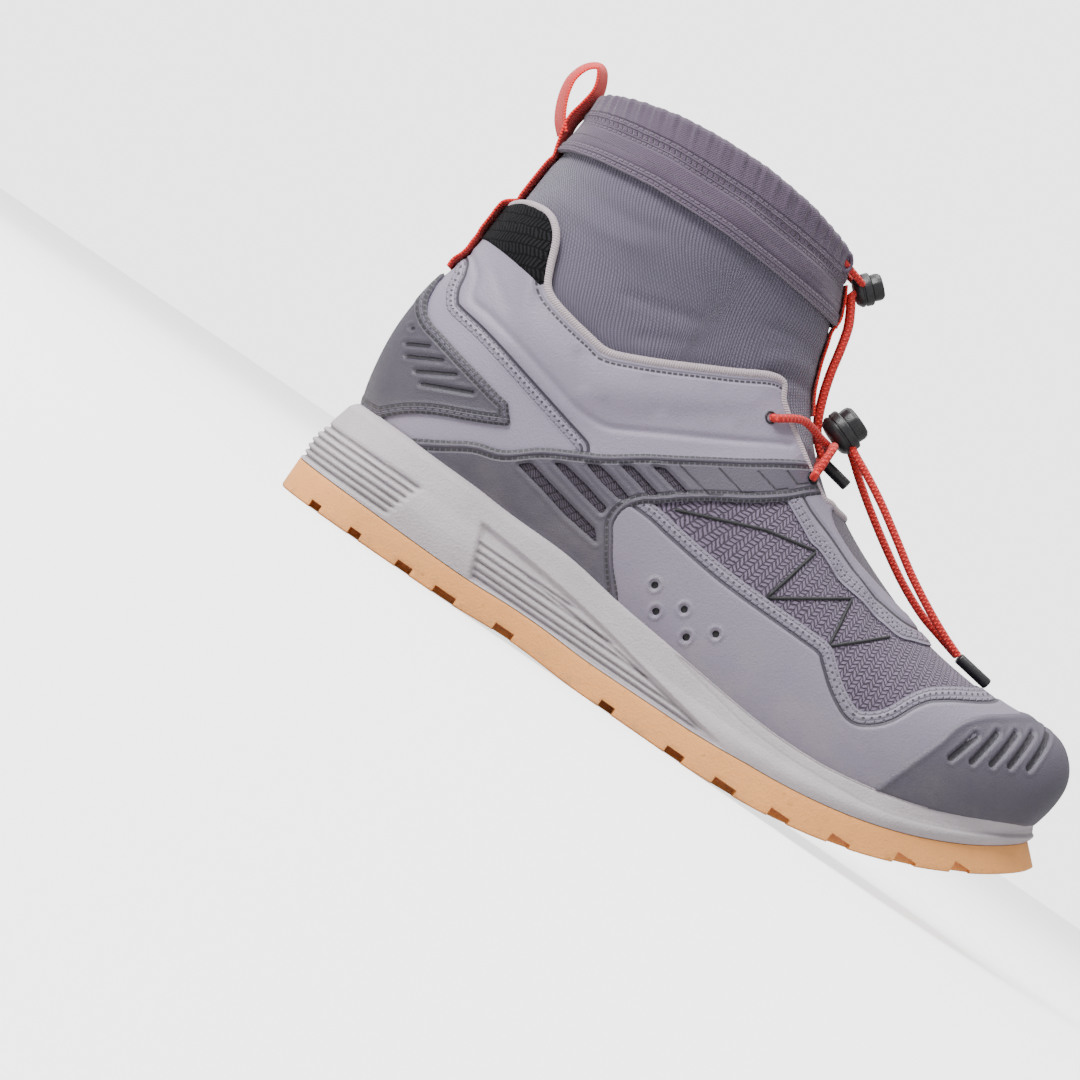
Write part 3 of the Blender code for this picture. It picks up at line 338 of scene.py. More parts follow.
def form_rows():
    """The form's sections in metres: chord ends, half widths, shift inwards and squareness."""
    widths = {"ball": BALL_WIDTH, "heel": HEEL_WIDTH, "shaft": SHAFT_WIDTH}
    rows = []
    for fa, fu, ba, bu, width, outer, inner, inward, widest, back, front in FORM:
        low = footbed(along(ba)) - UNDER_FOOTBED if bu == "sole" else up(bu)
        wide = widths[width] * PERCENT
        rows.append((along(fa), up(fu), along(ba), low, outer * wide, inner * wide, inward * wide,
                     widest * PERCENT, back, front))
    return np.array(rows, float)


def between_rows(rows, stations):
    """Rows read off a smooth curve through all of them, at stations counted in rows."""
    padded = np.concatenate([2 * rows[:1] - rows[1:2], rows, 2 * rows[-1:] - rows[-2:-1]])
    i = np.clip(np.floor(stations).astype(int), 0, len(rows) - 2)
    t = (stations - i)[:, None]
    a, b, c, d = (padded[i + k] for k in range(4))
    square = (2 * a - 5 * b + 4 * c - d) * t ** 2
    return 0.5 * (2 * b + (c - a) * t + square + (3 * b - a - 3 * c + d) * t ** 3)


HALF_TURN_STEPS = 240


def ring_points(rows, count):
    """Rings of evenly spaced points: the back point first, round the outer side, the front point halfway."""
    half_turn = np.linspace(0, np.pi, HALF_TURN_STEPS)
    cosine, sine = np.cos(half_turn), np.sin(half_turn)
    half = count // 2
    rings = np.empty((len(rows), count, 3))
    for i, (fx, fz, bx, bz, outer, inner, inward, widest, back, front) in enumerate(rows):
        power = np.where(cosine > 0, back, front)
        reach = np.abs(cosine) ** (2 / power)
        q = np.where(cosine > 0, widest * (1 - reach), widest + (1 - widest) * reach)
        wide = np.abs(sine) ** (2 / power)
        for reach_out, first in ((-outer, True), (inner, False)):
            points = np.stack([bx + q * (fx - bx), inward + wide * reach_out, bz + q * (fz - bz)], axis=1)
            side = resampled(points, half)
            if first:
                rings[i, :half + 1] = side
            else:
                rings[i, half:] = side[half:0:-1]
    return rings


def outward_normals(points):
    around = np.roll(points, -1, axis=1) - np.roll(points, 1, axis=1)
    length = np.gradient(points, axis=0)
    normal = np.cross(around, length)
    normal /= np.linalg.norm(normal, axis=2, keepdims=True) + 1e-12
    if np.sum(normal * (points - points.mean(axis=1, keepdims=True))) < 0:
        normal = -normal
    return normal


ROWS = form_rows()


class Skin:
    """The form from one of its sections up, as a fine grid of points with their outward normals."""

    def __init__(self, step, first=0.0):
        last = len(ROWS) - 1
        coarse = np.linspace(first, last, int((last - first) * 12) + 2)
        rings = ring_points(between_rows(ROWS, coarse), 48)
        apart = np.linalg.norm(np.diff(rings, axis=0), axis=2).max(axis=1)
        gone = np.concatenate([[0], np.cumsum(apart)])
        stations = np.interp(np.linspace(0, gone[-1], int(gone[-1] / (step * MM)) + 2), gone, coarse)
        round_it = np.linalg.norm(rings - np.roll(rings, 1, axis=1), axis=2).sum(axis=1).max()
        count = 2 * int(round_it / (2 * step * MM))
        self.points = ring_points(between_rows(ROWS, stations), count)
        self.normals = outward_normals(self.points)
        self.measure()

    @classmethod
    def of(cls, points, normals, cloth=None):
        """A skin from ready points, with a cloth map of its own if none is given."""
        made = object.__new__(cls)
        made.points, made.normals, made.cloth = points, normals, cloth
        made.measure(cloth is None)
        return made

    def measure(self, cloth=True):
        """Side-view places in millimetres, and the cloth map: round from the crest, then along it."""
        self.s = (self.points[..., 0] - SOLE_LOW.x) / MM
        self.y = self.points[..., 1] / MM
        self.h = self.points[..., 2] / MM - RISE
        if not cloth:
            return
        half = self.points.shape[1] // 2
        step_round = np.linalg.norm(np.diff(self.points, axis=1, append=self.points[:, :1]), axis=2)
        gone = np.cumsum(step_round, axis=1) - step_round
        crest = np.linalg.norm(np.diff(self.points[:, half], axis=0), axis=1)
        self.cloth = np.stack([
            gone - gone[:, half:half + 1],
            np.broadcast_to(np.concatenate([[0], np.cumsum(crest)])[:, None], gone.shape),
        ], axis=2) / MM

    def at(self, offset):
        """The grid moved out from the form by an offset in metres."""
        return self.points + self.normals * np.asarray(offset)[..., None]


def rows_between(skin, low, high, count):
    """A skin whose rows run evenly from one height line to another, as lists of (s, h), up each column."""
    below = skin.h - np.interp(skin.s, *np.transpose(low))
    above = skin.h - np.interp(skin.s, *np.transpose(high))
    columns = skin.points.shape[1]
    picked = np.empty((count, columns))
    index = np.arange(len(skin.points))
    for k in range(columns):
        start = np.interp(0, np.maximum.accumulate(below[:, k]), index)
        end = np.interp(0, np.maximum.accumulate(above[:, k]), index)
        picked[:, k] = np.linspace(start, end, count)
    i = np.clip(picked.astype(int), 0, len(index) - 2)
    t = (picked - i)[..., None]
    k = np.broadcast_to(np.arange(columns), picked.shape)
    normals = skin.normals[i, k] * (1 - t) + skin.normals[i + 1, k] * t
    normals /= np.linalg.norm(normals, axis=2, keepdims=True)
    return Skin.of(skin.points[i, k] * (1 - t) + skin.points[i + 1, k] * t, normals)


# Meshes


def grid_faces(rows, columns):
    """The numbers of a grid whose columns close on themselves, and its four-sided faces."""
    index = np.arange(rows * columns).reshape(rows, columns)
    nxt = np.roll(index, -1, axis=1)
    return index, np.stack([index[:-1], nxt[:-1], nxt[1:], index[1:]], axis=2).reshape(-1, 4)


def capped_faces(rows, columns):
    """The faces of such a grid with one face over each end."""
    index, faces = grid_faces(rows, columns)
    return faces.tolist() + [index[0].tolist(), index[-1][::-1].tolist()]


def add_map(mesh, name, values):
    """A map with two numbers for each point of a mesh."""
    corners = np.empty(len(mesh.loops), np.int32)
    mesh.loops.foreach_get("vertex_index", corners)
    layer = mesh.uv_layers.new(name=name)
    layer.data.foreach_set("uv", np.asarray(values, np.float32)[corners].ravel())


def mesh_object(name, points, faces, material=None, maps=None):
    """An object with its place in its mesh, and with its maps."""
    mesh = bpy.data.meshes.new(name)
    mesh.from_pydata(np.asarray(points).tolist(), [], [list(map(int, face)) for face in faces])
    for label, values in (maps or {}).items():
        add_map(mesh, label, values)
    obj = bpy.data.objects.new(name, mesh)
    bpy.context.scene.collection.objects.link(obj)
    if material:
        mesh.materials.append(material)
    mesh.shade_smooth()
    return obj


def choose(obj):
    """Makes one object the only selected and active one."""
    bpy.ops.object.select_all(action="DESELECT")
    obj.select_set(True)
    bpy.context.view_layer.objects.active = obj


def apply_modifier(obj, kind, **settings):
    choose(obj)
    modifier = obj.modifiers.new(kind.title(), kind)
    for key, value in settings.items():
        setattr(modifier, key, value)
    bpy.ops.object.modifier_apply(modifier=modifier.name)


def smooth_shaded(obj, sharp):
    """Smooth shading, with edges sharper than an angle in degrees kept sharp."""
    obj.data.shade_smooth()
    obj.data.set_sharp_from_angle(angle=math.radians(sharp))


def square_up(obj, sharp=60):
    """Faces all outwards, and edges sharper than an angle kept sharp."""
    choose(obj)
    bpy.ops.object.mode_set(mode="EDIT")
    bpy.ops.mesh.select_all(action="SELECT")
    bpy.ops.mesh.normals_make_consistent(inside=False)
    bpy.ops.object.mode_set(mode="OBJECT")
    smooth_shaded(obj, sharp)


def bevel(obj, wide, segments):
    """Sharp edges bevelled by a width in millimetres."""
    apply_modifier(obj, "BEVEL", width=wide * MM, segments=segments, limit_method="ANGLE",
                   angle_limit=math.radians(50))


def thicken(obj, wall, sharp, rim_only=False):
    """A sheet given a wall inwards, in millimetres, or only the rim of one."""
    if wall:
        apply_modifier(obj, "SOLIDIFY", thickness=wall * MM, offset=-1.0, use_rim=True, use_rim_only=rim_only)
    smooth_shaded(obj, sharp)


def join_up(pieces):
    """Several objects made one."""
    choose(pieces[0])
    for piece in pieces:
        piece.select_set(True)
    bpy.ops.object.join()
    return pieces[0]


def settle(name, material, smooth=True):
    """The newest object, named, with its place put into its mesh and with its material."""
    obj = bpy.context.object
    obj.name = name
    bpy.ops.object.transform_apply(location=True, rotation=True, scale=True)
    obj.data.materials.append(material)
    if smooth:
        obj.data.shade_smooth()
    return obj


def facing_turn(way):
    """The turn that brings the z axis to a way."""
    return way.to_track_quat("Z", "Y").to_euler()


def seat(obj, slot, *nodes):
    """A finished piece rides on the one body and stands for the nodes it replaces; its slot is not used."""
    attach(obj, "root")
    if nodes:
        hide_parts(*nodes)
    return obj


# Materials: distances along and from an edge come from the map "edge", cloth from the map "cloth"


class Sum:
    """A number inside a material, that adds maths nodes as it is worked with."""

    def __init__(self, surface, socket):
        self.surface = surface
        self.socket = socket

    def maths(self, operation, *values):
        sockets = dict(enumerate(values))
        node = self.surface.node("ShaderNodeMath", {"operation": operation}, sockets)
        return Sum(self.surface, node.outputs[0])

    def __add__(self, other):
        return self.maths("ADD", self, other)

    __radd__ = __add__

    def __sub__(self, other):
        return self.maths("SUBTRACT", self, other)

    def __rsub__(self, other):
        return self.maths("SUBTRACT", other, self)

    def __mul__(self, other):
        return self.maths("MULTIPLY", self, other)

    __rmul__ = __mul__

    def __truediv__(self, other):
        return self.maths("DIVIDE", self, other)

    def __rtruediv__(self, other):
        return self.maths("DIVIDE", other, self)

    def __pow__(self, other):
        return self.maths("POWER", self, other)

    def wave(self):
        return self.maths("SINE", self)

    def size(self):
        return self.maths("ABSOLUTE", self)

    def part(self):
        return self.maths("FRACT", self)

    def most(self, other):
        return self.maths("MAXIMUM", self, other)

    def least(self, other):
        return self.maths("MINIMUM", self, other)

    def fold(self):
        """How far a number is from the middle of its whole step, from 0 to 0.5."""
        return (self.part() - 0.5).size()

    def ramp(self, low, high):
        """0 at low to 1 at high, smooth between them."""
        node = self.surface.node(
            "ShaderNodeMapRange", {"interpolation_type": "SMOOTHSTEP"}, {0: self, 1: low, 2: high})
        return Sum(self.surface, node.outputs[0])

    def close(self, at, half, soft):
        """1 within half of a value, softly to 0 past it."""
        return 1 - (self - at).size().ramp(half, half + soft)


class Nodes:
    """The nodes of one material or of the world."""

    def __init__(self, tree):
        self.tree = tree

    def node(self, kind, settings=None, sockets=None):
        made = self.tree.nodes.new(kind)
        for key, value in (settings or {}).items():
            setattr(made, key, value)
        self.fill(made, sockets or {})
        return made

    def fill(self, made, sockets):
        """Sets a node's inputs, each to a value or linked to another node."""
        for key, value in sockets.items():
            if isinstance(value, Sum):
                value = value.socket
            if isinstance(value, bpy.types.NodeSocket):
                self.tree.links.new(value, made.inputs[key])
            else:
                made.inputs[key].default_value = value

    def mix(self, share, first, second):
        node = self.node("ShaderNodeMix", {"data_type": "RGBA"}, {0: share, 6: first, 7: second})
        return node.outputs[2]


class Surface(Nodes):
    """One procedural material."""

    def __init__(self, name):
        self.material = bpy.data.materials.new(name)
        self.material.use_nodes = True
        super().__init__(self.material.node_tree)
        self.tree.nodes.clear()
        self.shader = self.node("ShaderNodeBsdfPrincipled")
        self.node("ShaderNodeOutputMaterial", None, {0: self.shader.outputs[0]})

    def place(self):
        return self.node("ShaderNodeTexCoord").outputs["Object"]

    def map(self, name):
        """The two numbers of a map."""
        uv = self.node("ShaderNodeUVMap", {"uv_map": name}).outputs[0]
        apart = self.node("ShaderNodeSeparateXYZ", None, {0: uv})
        return Sum(self, apart.outputs[0]), Sum(self, apart.outputs[1])

    def height(self):
        """Metres above the floor."""
        return Sum(self, self.node("ShaderNodeSeparateXYZ", None, {0: self.place()}).outputs[2])

    def noise(self, scale, detail=3.0, rough=0.5, stretch=None):
        place = self.place()
        if stretch:
            sockets = {0: place, 1: stretch}
            place = self.node("ShaderNodeVectorMath", {"operation": "MULTIPLY"}, sockets).outputs[0]
        sockets = {"Vector": place, "Scale": scale, "Detail": detail, "Roughness": rough}
        return Sum(self, self.node("ShaderNodeTexNoise", None, sockets).outputs[0])

    def cells(self, scale):
        """Distance to the nearest of some scattered points."""
        sockets = {"Vector": self.place(), "Scale": scale, "Randomness": 1.0}
        return Sum(self, self.node("ShaderNodeTexVoronoi", {"feature": "F1"}, sockets).outputs["Distance"])

    def made(self, base, roughness, height, depth, sheen=0.0):
        """The material with its colour, and a bump by a height from 0 to 1 that stands for some metres."""
        bump = self.node("ShaderNodeBump", None, {"Strength": 1.0, "Distance": depth, "Height": height})
        self.fill(self.shader, {"Base Color": base, "Roughness": roughness, "Sheen Weight": sheen,
                                "Sheen Roughness": 0.5, "Normal": bump.outputs[0]})
        return self.material


BLACK_THREAD = (0.012, 0.011, 0.013, 1.0)
DUST = (0.30, 0.27, 0.24)
GRIME = (0.12, 0.11, 0.10, 1.0)
DIRT = (0.16, 0.12, 0.09, 1.0)
WEBBING_FLECK = (0.9, 0.25, 0.16, 1.0)
CORD_FLECK = (0.95, 0.25, 0.16, 1.0)
MESH_LEAN = 0.9


def rgb(colour, value=1.0):
    """A colour times a value, opaque."""
    return (colour[0] * value, colour[1] * value, colour[2] * value, 1.0)


def dusty(surface, colour, dust, low, high, most):
    """A colour with dust that gathers low on the boot."""
    patches = surface.noise(60.0, 5.0, 0.65)
    share = (1 - surface.height().ramp(low, high)) * patches.ramp(0.35, 0.75) * most
    return surface.mix(share, colour, dust)


def beside(off, lines, half, soft):
    """1 along each of some distances from an edge."""
    found = off.close(lines[0], half, soft)
    for line in lines[1:]:
        found = found.most(off.close(line, half, soft))
    return found


def stitched(run, off, lines, pitch=2.6, wide=0.32):
    """Rows of thread along an edge at distances from it, and the small holes between stitches, which the
    materials fill with painted shade.
    """
    dash = (run / pitch).fold()
    thread = beside(off, lines, wide * 0.6, wide * 0.7) * (1 - dash.ramp(0.30, 0.42))
    return thread, beside(off, lines, 0.18, 0.3) * dash.ramp(0.43, 0.48)


def dotted(run, off, at, pitch, radius):
    """A row of punched holes at a distance from an edge."""
    apart = ((run / pitch).part() - 0.5) * pitch
    reach = ((off - at) ** 2 + apart ** 2) ** 0.5
    return 1 - reach.ramp(radius * 0.8, radius * 1.2)


def mesh_weave(u, v, pitch):
    """Knitted strands in rows that lean one way and the other: 0 in a gap to 1 on a strand."""
    row = v / pitch
    way = (row * 0.5).part().ramp(0.49, 0.51) * 2 - 1
    slant = (row.part() - 0.5) * way * MESH_LEAN
    strand = (u / pitch + slant).fold()
    return (1 - strand.ramp(0.20, 0.42)) * (1 - row.fold().ramp(0.34, 0.50) * 0.8)


def light_panel(name, colour, dark, lines=(), dots=None, groove=None, mark=None):
    """Smooth coated fabric with stitches, punched dots and a groove at distances from its edge; painted shade
    darkens the stitch holes, the groove and the dots, whose dark is partly the cloth under them.

    mark draws dark thread, "dashed" or "solid", at a distance from the line of the map "mark"."""
    s = Surface(name)
    run, off = s.map("edge")
    grain = s.noise(900.0, 3.0, 0.55)
    base = s.mix(0.93 + s.noise(38.0, 4.0, 0.6) * 0.14, rgb(colour, 0.86), rgb(colour, 1.08))
    base = s.mix(s.noise(300.0, 5.0, 0.7).ramp(0.62, 0.8) * 0.25, base, rgb(colour, 0.62))
    height = grain * 0.35 + s.cells(1500.0) * 0.25
    if lines:
        thread, holes = stitched(run, off, lines)
        base = s.mix(thread * 0.55, base, rgb(colour, 0.72))
        # painted shade in the needle holes
        base = s.mix(holes * 0.8, base, rgb(dark, 0.6))
        height = height + thread * 0.9 - holes * 1.4 - beside(off, lines, 0.5, 0.7) * 0.9
    if dots:
        hole = dotted(run, off, *dots)
        # dark dots: the dark cloth under the punched holes, and painted shade in them
        base = s.mix(hole * 0.85, base, rgb(dark, 0.35))
        height = height - hole * 2.2
    if groove:
        # painted shade in the groove
        line = off.close(groove, 0.25, 0.45)
        base = s.mix(line * 0.85, base, rgb(dark, 0.5))
        height = height - line * 1.6
    if mark:
        kind, at = mark
        along_mark, from_mark = s.map("mark")
        line = from_mark.close(at, 0.28, 0.3)
        if kind == "dashed":
            line = line * (1 - (along_mark / 1.9).fold().ramp(0.32, 0.42))
        base = s.mix(line * 0.9, base, BLACK_THREAD)
        height = height - from_mark.close(at, 0.5, 0.8) * 1.2
    base = dusty(s, base, rgb(DUST), 0.030, 0.062, 0.35)
    return s.made(base, 0.42 + grain * 0.22, height, 0.00035)


def moulded(name, colour, lines, wear_and_edge_highlight, seams, mark):
    """Dark moulded film: satin and finely pebbled, with pale rubbed spots, a painted highlight along its
    edge, and painted shade in its slits and stitch holes.

    lines and seams are the distances of its stitches from its edge, mark is half the width of its slits."""
    s = Surface(name)
    run, off = s.map("edge")
    cloud = s.noise(70.0, 6.0, 0.7)
    base = s.mix(cloud, rgb(colour, 0.90), rgb(colour, 1.10))
    rubbed = s.noise(240.0, 6.0, 0.75).ramp(0.64, 0.80)
    # pale rubbed spots are wear; the pale band just inside the edge is a painted highlight
    base = s.mix((rubbed * 0.35 + off.close(0.6, 0.5, 1.1) * 0.25) * wear_and_edge_highlight, base, rgb(colour, 2.9))
    height = s.cells(1900.0) * 0.4
    if lines:
        thread, holes = stitched(run, off, lines, 2.4, 0.3)
        base = s.mix(thread * 0.5, base, rgb(colour, 1.9))
        # painted shade in the needle holes
        base = s.mix(holes * 0.7, base, rgb(colour, 0.3))
        height = height - beside(off, lines, 0.22, 0.5) * 1.5 + thread * 0.9 - holes * 1.2
    if seams:
        dash = 1 - (run / 1.9).fold().ramp(0.34, 0.44)
        base = s.mix(beside(off, seams, 0.28, 0.3) * dash * 0.9, base, BLACK_THREAD)
        height = height - beside(off, seams, 0.4, 0.6) * 1.2
    slit = s.map("mark")[1].close(0.0, mark, 0.35)
    # painted shade in the slits
    base = s.mix(slit * 0.85, base, rgb(colour, 0.14))
    base = dusty(s, base, rgb(DUST, 0.8), 0.034, 0.070, 0.18)
    return s.made(base, 0.42 + cloud * 0.22, height - slit * 1.2, 0.0003)


def mesh_cloth(name, colour, pale, pitch, depth, sheen=0.15, gloss=0.4):
    """Open knitted mesh: pale yarn round small dark cells."""
    s = Surface(name)
    u, v = s.map("cloth")
    u = u + (s.noise(420.0, 3.0, 0.6) - 0.5) * pitch * 0.9
    v = v + (s.noise(330.0, 3.0, 0.6) - 0.5) * pitch * 0.5
    yarn = mesh_weave(u, v, pitch)
    base = s.mix(yarn, rgb(colour, 0.40), rgb(pale))
    base = s.mix(s.noise(55.0, 4.0, 0.6).ramp(0.35, 0.7) * 0.25, base, rgb(colour, 0.7))
    s.fill(s.shader, {"Specular IOR Level": gloss})
    return s.made(base, 0.86, yarn + s.noise(1400.0, 4.0, 0.7) * 0.4, depth, sheen)


def ribbed_knit(name, colour, pitch=1.35):
    """A vertical rib knit with small stitches up each rib, and painted shade between the ribs and the
    stitches.
    """
    s = Surface(name)
    u, v = s.map("cloth")
    across = (u / pitch).fold()
    rib = 1 - across.ramp(0.12, 0.48)
    loops = (v / 0.95 + across * 1.4).fold().ramp(0.08, 0.45)
    fuzz = s.noise(1500.0, 4.0, 0.75)
    # painted shade between the ribs and the stitches, lighter on their tops
    base = s.mix(rib * (0.45 + loops * 0.55), rgb(colour, 0.62), rgb(colour, 1.35))
    base = s.mix(s.noise(40.0, 4.0, 0.6).ramp(0.3, 0.75) * 0.35, base, rgb(colour, 0.7))
    base = s.mix(fuzz.ramp(0.55, 0.8) * 0.3, base, rgb(colour, 2.1))
    return s.made(base, 0.95, rib * 0.8 + loops * rib * 0.5 + fuzz * 0.3, 0.0003, 0.25)


def woven_cloth(name, colour, lines, pitch=0.85):
    """Plain woven cloth with stitches at distances from its edge, painted shade between its threads and in
    its stitch holes, and soft folds as patches of painted shade.
    """
    s = Surface(name)
    u, v = s.map("cloth")
    run, off = s.map("edge")
    turn = 2 * math.pi / pitch
    weave = (u * turn).wave() * (v * turn).wave() * 0.5 + 0.5
    # painted shade between the threads, lighter on their tops
    base = s.mix(weave, rgb(colour, 0.72), rgb(colour, 1.15))
    # soft folds: patches of painted shade
    base = s.mix(s.noise(36.0, 4.0, 0.6).ramp(0.3, 0.75) * 0.4, base, rgb(colour, 0.66))
    thread, holes = stitched(run, off, lines, 2.2, 0.36)
    base = s.mix(thread * 0.5, base, rgb(colour, 1.5))
    # painted shade in the needle holes
    base = s.mix(holes * 0.6, base, rgb(colour, 0.35))
    height = weave * 0.35 + s.noise(1100.0, 4.0, 0.7) * 0.4 + thread * 0.8
    height = height - beside(off, lines, 0.4, 0.9) * 1.2
    return s.made(base, 0.85, height - holes, 0.0006, 0.25)


def ribbon_cloth(name, colour):
    """Webbing: ribs across the band with a chevron at its middle and firm edges."""
    s = Surface(name)
    across, run = s.map("cloth")
    ribs = ((run + across.size() * 0.9) / 1.15).fold().ramp(0.05, 0.42)
    weave = ribs * 0.65 + (across / 1.5).fold().ramp(0.10, 0.45) * 0.35
    fuzz = s.noise(1300.0, 4.0, 0.7)
    # painted shade between the ribs, lighter on their tops
    base = s.mix(weave, rgb(colour, 0.38), rgb(colour, 1.18))
    base = s.mix(fuzz.ramp(0.55, 0.8) * 0.12, base, WEBBING_FLECK)
    return s.made(base, 0.72, weave + fuzz * 0.3, 0.00045, 0.2)


def braided_cord(name, colour, pitch=1.7):
    """A braided elastic cord: slanted plaits, with pale flecks."""
    s = Surface(name)
    u, v = s.map("cloth")
    one, other = (((v + u * slant) / pitch).fold().ramp(0.1, 0.45) for slant in (0.55, -0.55))
    plait = one.least(other)
    fuzz = s.noise(1600.0, 3.0, 0.7)
    # painted shade between the plaits, lighter on their tops
    base = s.mix(plait, rgb(colour, 0.45), rgb(colour, 1.15))
    base = s.mix(fuzz.ramp(0.6, 0.85) * 0.10, base, CORD_FLECK)
    return s.made(base, 0.6, plait + fuzz * 0.25, 0.0004, 0.15)


def light_piping(name, colour):
    """A pale cord with a fine slanted weave."""
    s = Surface(name)
    u, v = s.map("cloth")
    weave = (v / 0.9 + u * 0.3).fold().ramp(0.1, 0.45)
    # painted shade between the strands of the weave
    base = s.mix(weave, rgb(colour, 0.75), rgb(colour, 1.05))
    base = s.mix(s.noise(60.0, 4.0, 0.6).ramp(0.35, 0.75) * 0.4, base, rgb(colour, 0.62))
    return s.made(base, 0.75, weave, 0.0002, 0.2)


def hard_plastic(name, colour, roughness=0.32):
    """Finely grained plastic with a few pale scratches."""
    s = Surface(name)
    base = s.mix(s.noise(420.0, 5.0, 0.7).ramp(0.62, 0.8) * 0.2, rgb(colour), rgb(colour, 4.0))
    return s.made(base, roughness + s.noise(160.0, 4.0, 0.6) * 0.18, s.cells(1700.0) * 0.3, 0.00012)


def foam_block(name, colour):
    """Moulded foam with a fine skin, small marks, patches of grime, and painted shade along its grooves and
    under its lip.
    """
    s = Surface(name)
    crease_shade = s.map("edge")[1]
    cloud = s.noise(48.0, 5.0, 0.65)
    streak = s.noise(300.0, 5.0, 0.7, (0.25, 0.25, 1.6))
    base = s.mix(cloud.ramp(0.25, 0.8), rgb(colour, 0.90), rgb(colour, 1.06))
    base = s.mix(streak.ramp(0.60, 0.78) * 0.30, base, rgb(colour, 0.62))
    # painted shade in the grooves and where the lip drops under the upper
    base = s.mix(crease_shade * 0.8, base, rgb(colour, 0.42))
    base = s.mix(s.noise(170.0, 6.0, 0.75).ramp(0.66, 0.74) * 0.35, base, GRIME)
    return s.made(base, 0.62 + cloud * 0.15, s.cells(1300.0) * 0.5 + s.noise(700.0) * 0.5, 0.0003)


def gum(name, colour, pink):
    """Gum rubber: tan outside, pinker where it is cut back, scuffed and dusty."""
    s = Surface(name)
    depth = s.map("edge")[1]
    cloud = s.noise(60.0, 5.0, 0.65)
    base = s.mix(cloud, rgb(colour, 0.85), rgb(colour, 1.12))
    base = s.mix(depth.ramp(0.2, 1), base, rgb(pink, 0.95))
    scuff = s.noise(260.0, 6.0, 0.75).ramp(0.58, 0.76)
    base = s.mix(scuff * 0.35, base, rgb(colour, 0.52))
    dirt = (1 - s.height().ramp(0, 0.008)) * s.noise(120.0, 5.0, 0.7).ramp(0.4, 0.7)
    base = s.mix(dirt * 0.45, base, DIRT)
    return s.made(base, 0.56 + cloud * 0.2, s.cells(1100.0) * 0.4 + scuff * 0.6, 0.0003)


def lining(name, colour):
    """The footbed's dark cloth."""
    s = Surface(name)
    fuzz = s.noise(900.0, 4.0, 0.7)
    return s.made(s.mix(fuzz, rgb(colour, 0.3), rgb(colour, 0.6)), 0.9, fuzz, 0.0004)


# Outlines in the side view


def joined(*runs):
    """A closed outline from runs that meet at corners."""
    return Line(drawn(*runs, steps=5), closed=True)


TOPLINE = drawn(
    ((-12, 121), (6, 122.6), (12, 125), (18, 128.8), (24, 129.8), (29, 129.2), (34, 124),
     (38, 113), (42, 106.2), (52, 103), (64, 101), (70, 100.3), (80, 104.5), (90, 109.5),
     (100, 115), (110, 120.5), (120, 126.6), (125, 127.8), (130, 127.2), (140, 121.5),
     (150, 114), (158, 106.5), (166, 99.6)),
)
CHANNEL = drawn(
    ((8, 106), (18.5, 98), (22, 90), (30, 88.5), (40, 86.5), (50, 84), (60, 81.5), (70, 79),
     (77, 78.5), (84, 79), (90, 81.5), (100, 87), (120, 98), (140, 109)),
)
COLLAR_SEAM = (
    (-8, 98), (7.5, 97.5), (10.5, 95), (11.5, 90), (13, 86), (16, 82), (20, 80.5), (30, 78.8),
    (40, 76.5), (50, 74), (60, 71.5), (70, 69), (80, 66.5),
)
COUNTER = (
    ((-8, 93.4), (7.5, 93), (8.5, 88), (9.5, 82), (12, 77.5), (16, 75), (20, 74), (30, 71.5),
     (40, 69.3), (48, 67.5), (52, 66.8), (54, 64.5), (56.5, 61.5), (55, 59.5), (45, 54.5), (35, 50),
     (28, 46), (23, 42), (16, 35)),
    ((16, 35), (-8, 35)),
)
COUNTER_SLITS = (
    ((12.5, 64.5), (19, 68)), ((15, 61), (25.5, 66.5)), ((20.5, 58.5), (32, 65)),
    ((24.5, 56), (40, 63)), ((10.9, 70), (11.1, 70.1)),
)
CAGE = (
    ((170, 118), (152, 110.5), (140, 103), (130, 96.5), (120, 90.5), (110, 84.5), (100, 78.5),
     (90, 71.5), (80, 66), (70, 60.5), (60, 53), (50, 49.5), (40, 43.5), (30, 37.5), (20, 30)),
    ((20, 30), (130, 20)),
    ((130, 20), (128, 31.3), (123, 34), (118, 38.5), (113, 44), (109, 49.5), (106.5, 53),
     (106, 56.5), (107, 60), (110, 64), (115, 67.5), (120, 71.5), (130, 78.5), (140, 84.5),
     (150, 92), (155, 97), (162.5, 104), (172, 114)),
)
SLOTS = (
    ((66.5, 51.6), (70, 54.7), (90, 50.5), (101.5, 48.2), (105, 44.7), (90, 46.6), (78.5, 49.3)),
    ((76.2, 58.9), (80, 60.6), (90, 58.9), (100.8, 56.2), (100.4, 53.4), (90, 55.5)),
    ((85.8, 64.7), (90, 67), (97.7, 65.5), (105.4, 63.2), (102.7, 60.8), (93.8, 62.4)),
    ((95.8, 70.8), (99.2, 72.9), (105.4, 71.6), (113, 69.7), (110, 67.4), (104.6, 68.9)),
    ((105, 76.6), (109.2, 78.5), (121, 75.8), (117.7, 73.8), (112.3, 75)),
)
EMBOSSED = (
    ((113, 82), (117, 84.5), (131, 81.5), (127, 79)),
    ((125, 88.5), (129, 91), (139.5, 88.3), (136, 85.8)),
    ((136.5, 95), (140, 97.5), (148, 95.6), (145, 93)),
    ((144.5, 100.5), (147.5, 102.5), (152.5, 101.2), (150, 98.8)),
)
CAGE_MARKS = Lines(*[(shape[0], shape[3], shape[2]) for shape in EMBOSSED])
INLAY = (
    (64.2, 50.8), (80, 48), (104.5, 43.4), (106.4, 45), (105, 52), (104.6, 58), (107.5, 64.6),
    (113.8, 68.6), (122.6, 75.6), (108.6, 79.9), (96, 72.8), (84, 65.6), (70, 57),
)
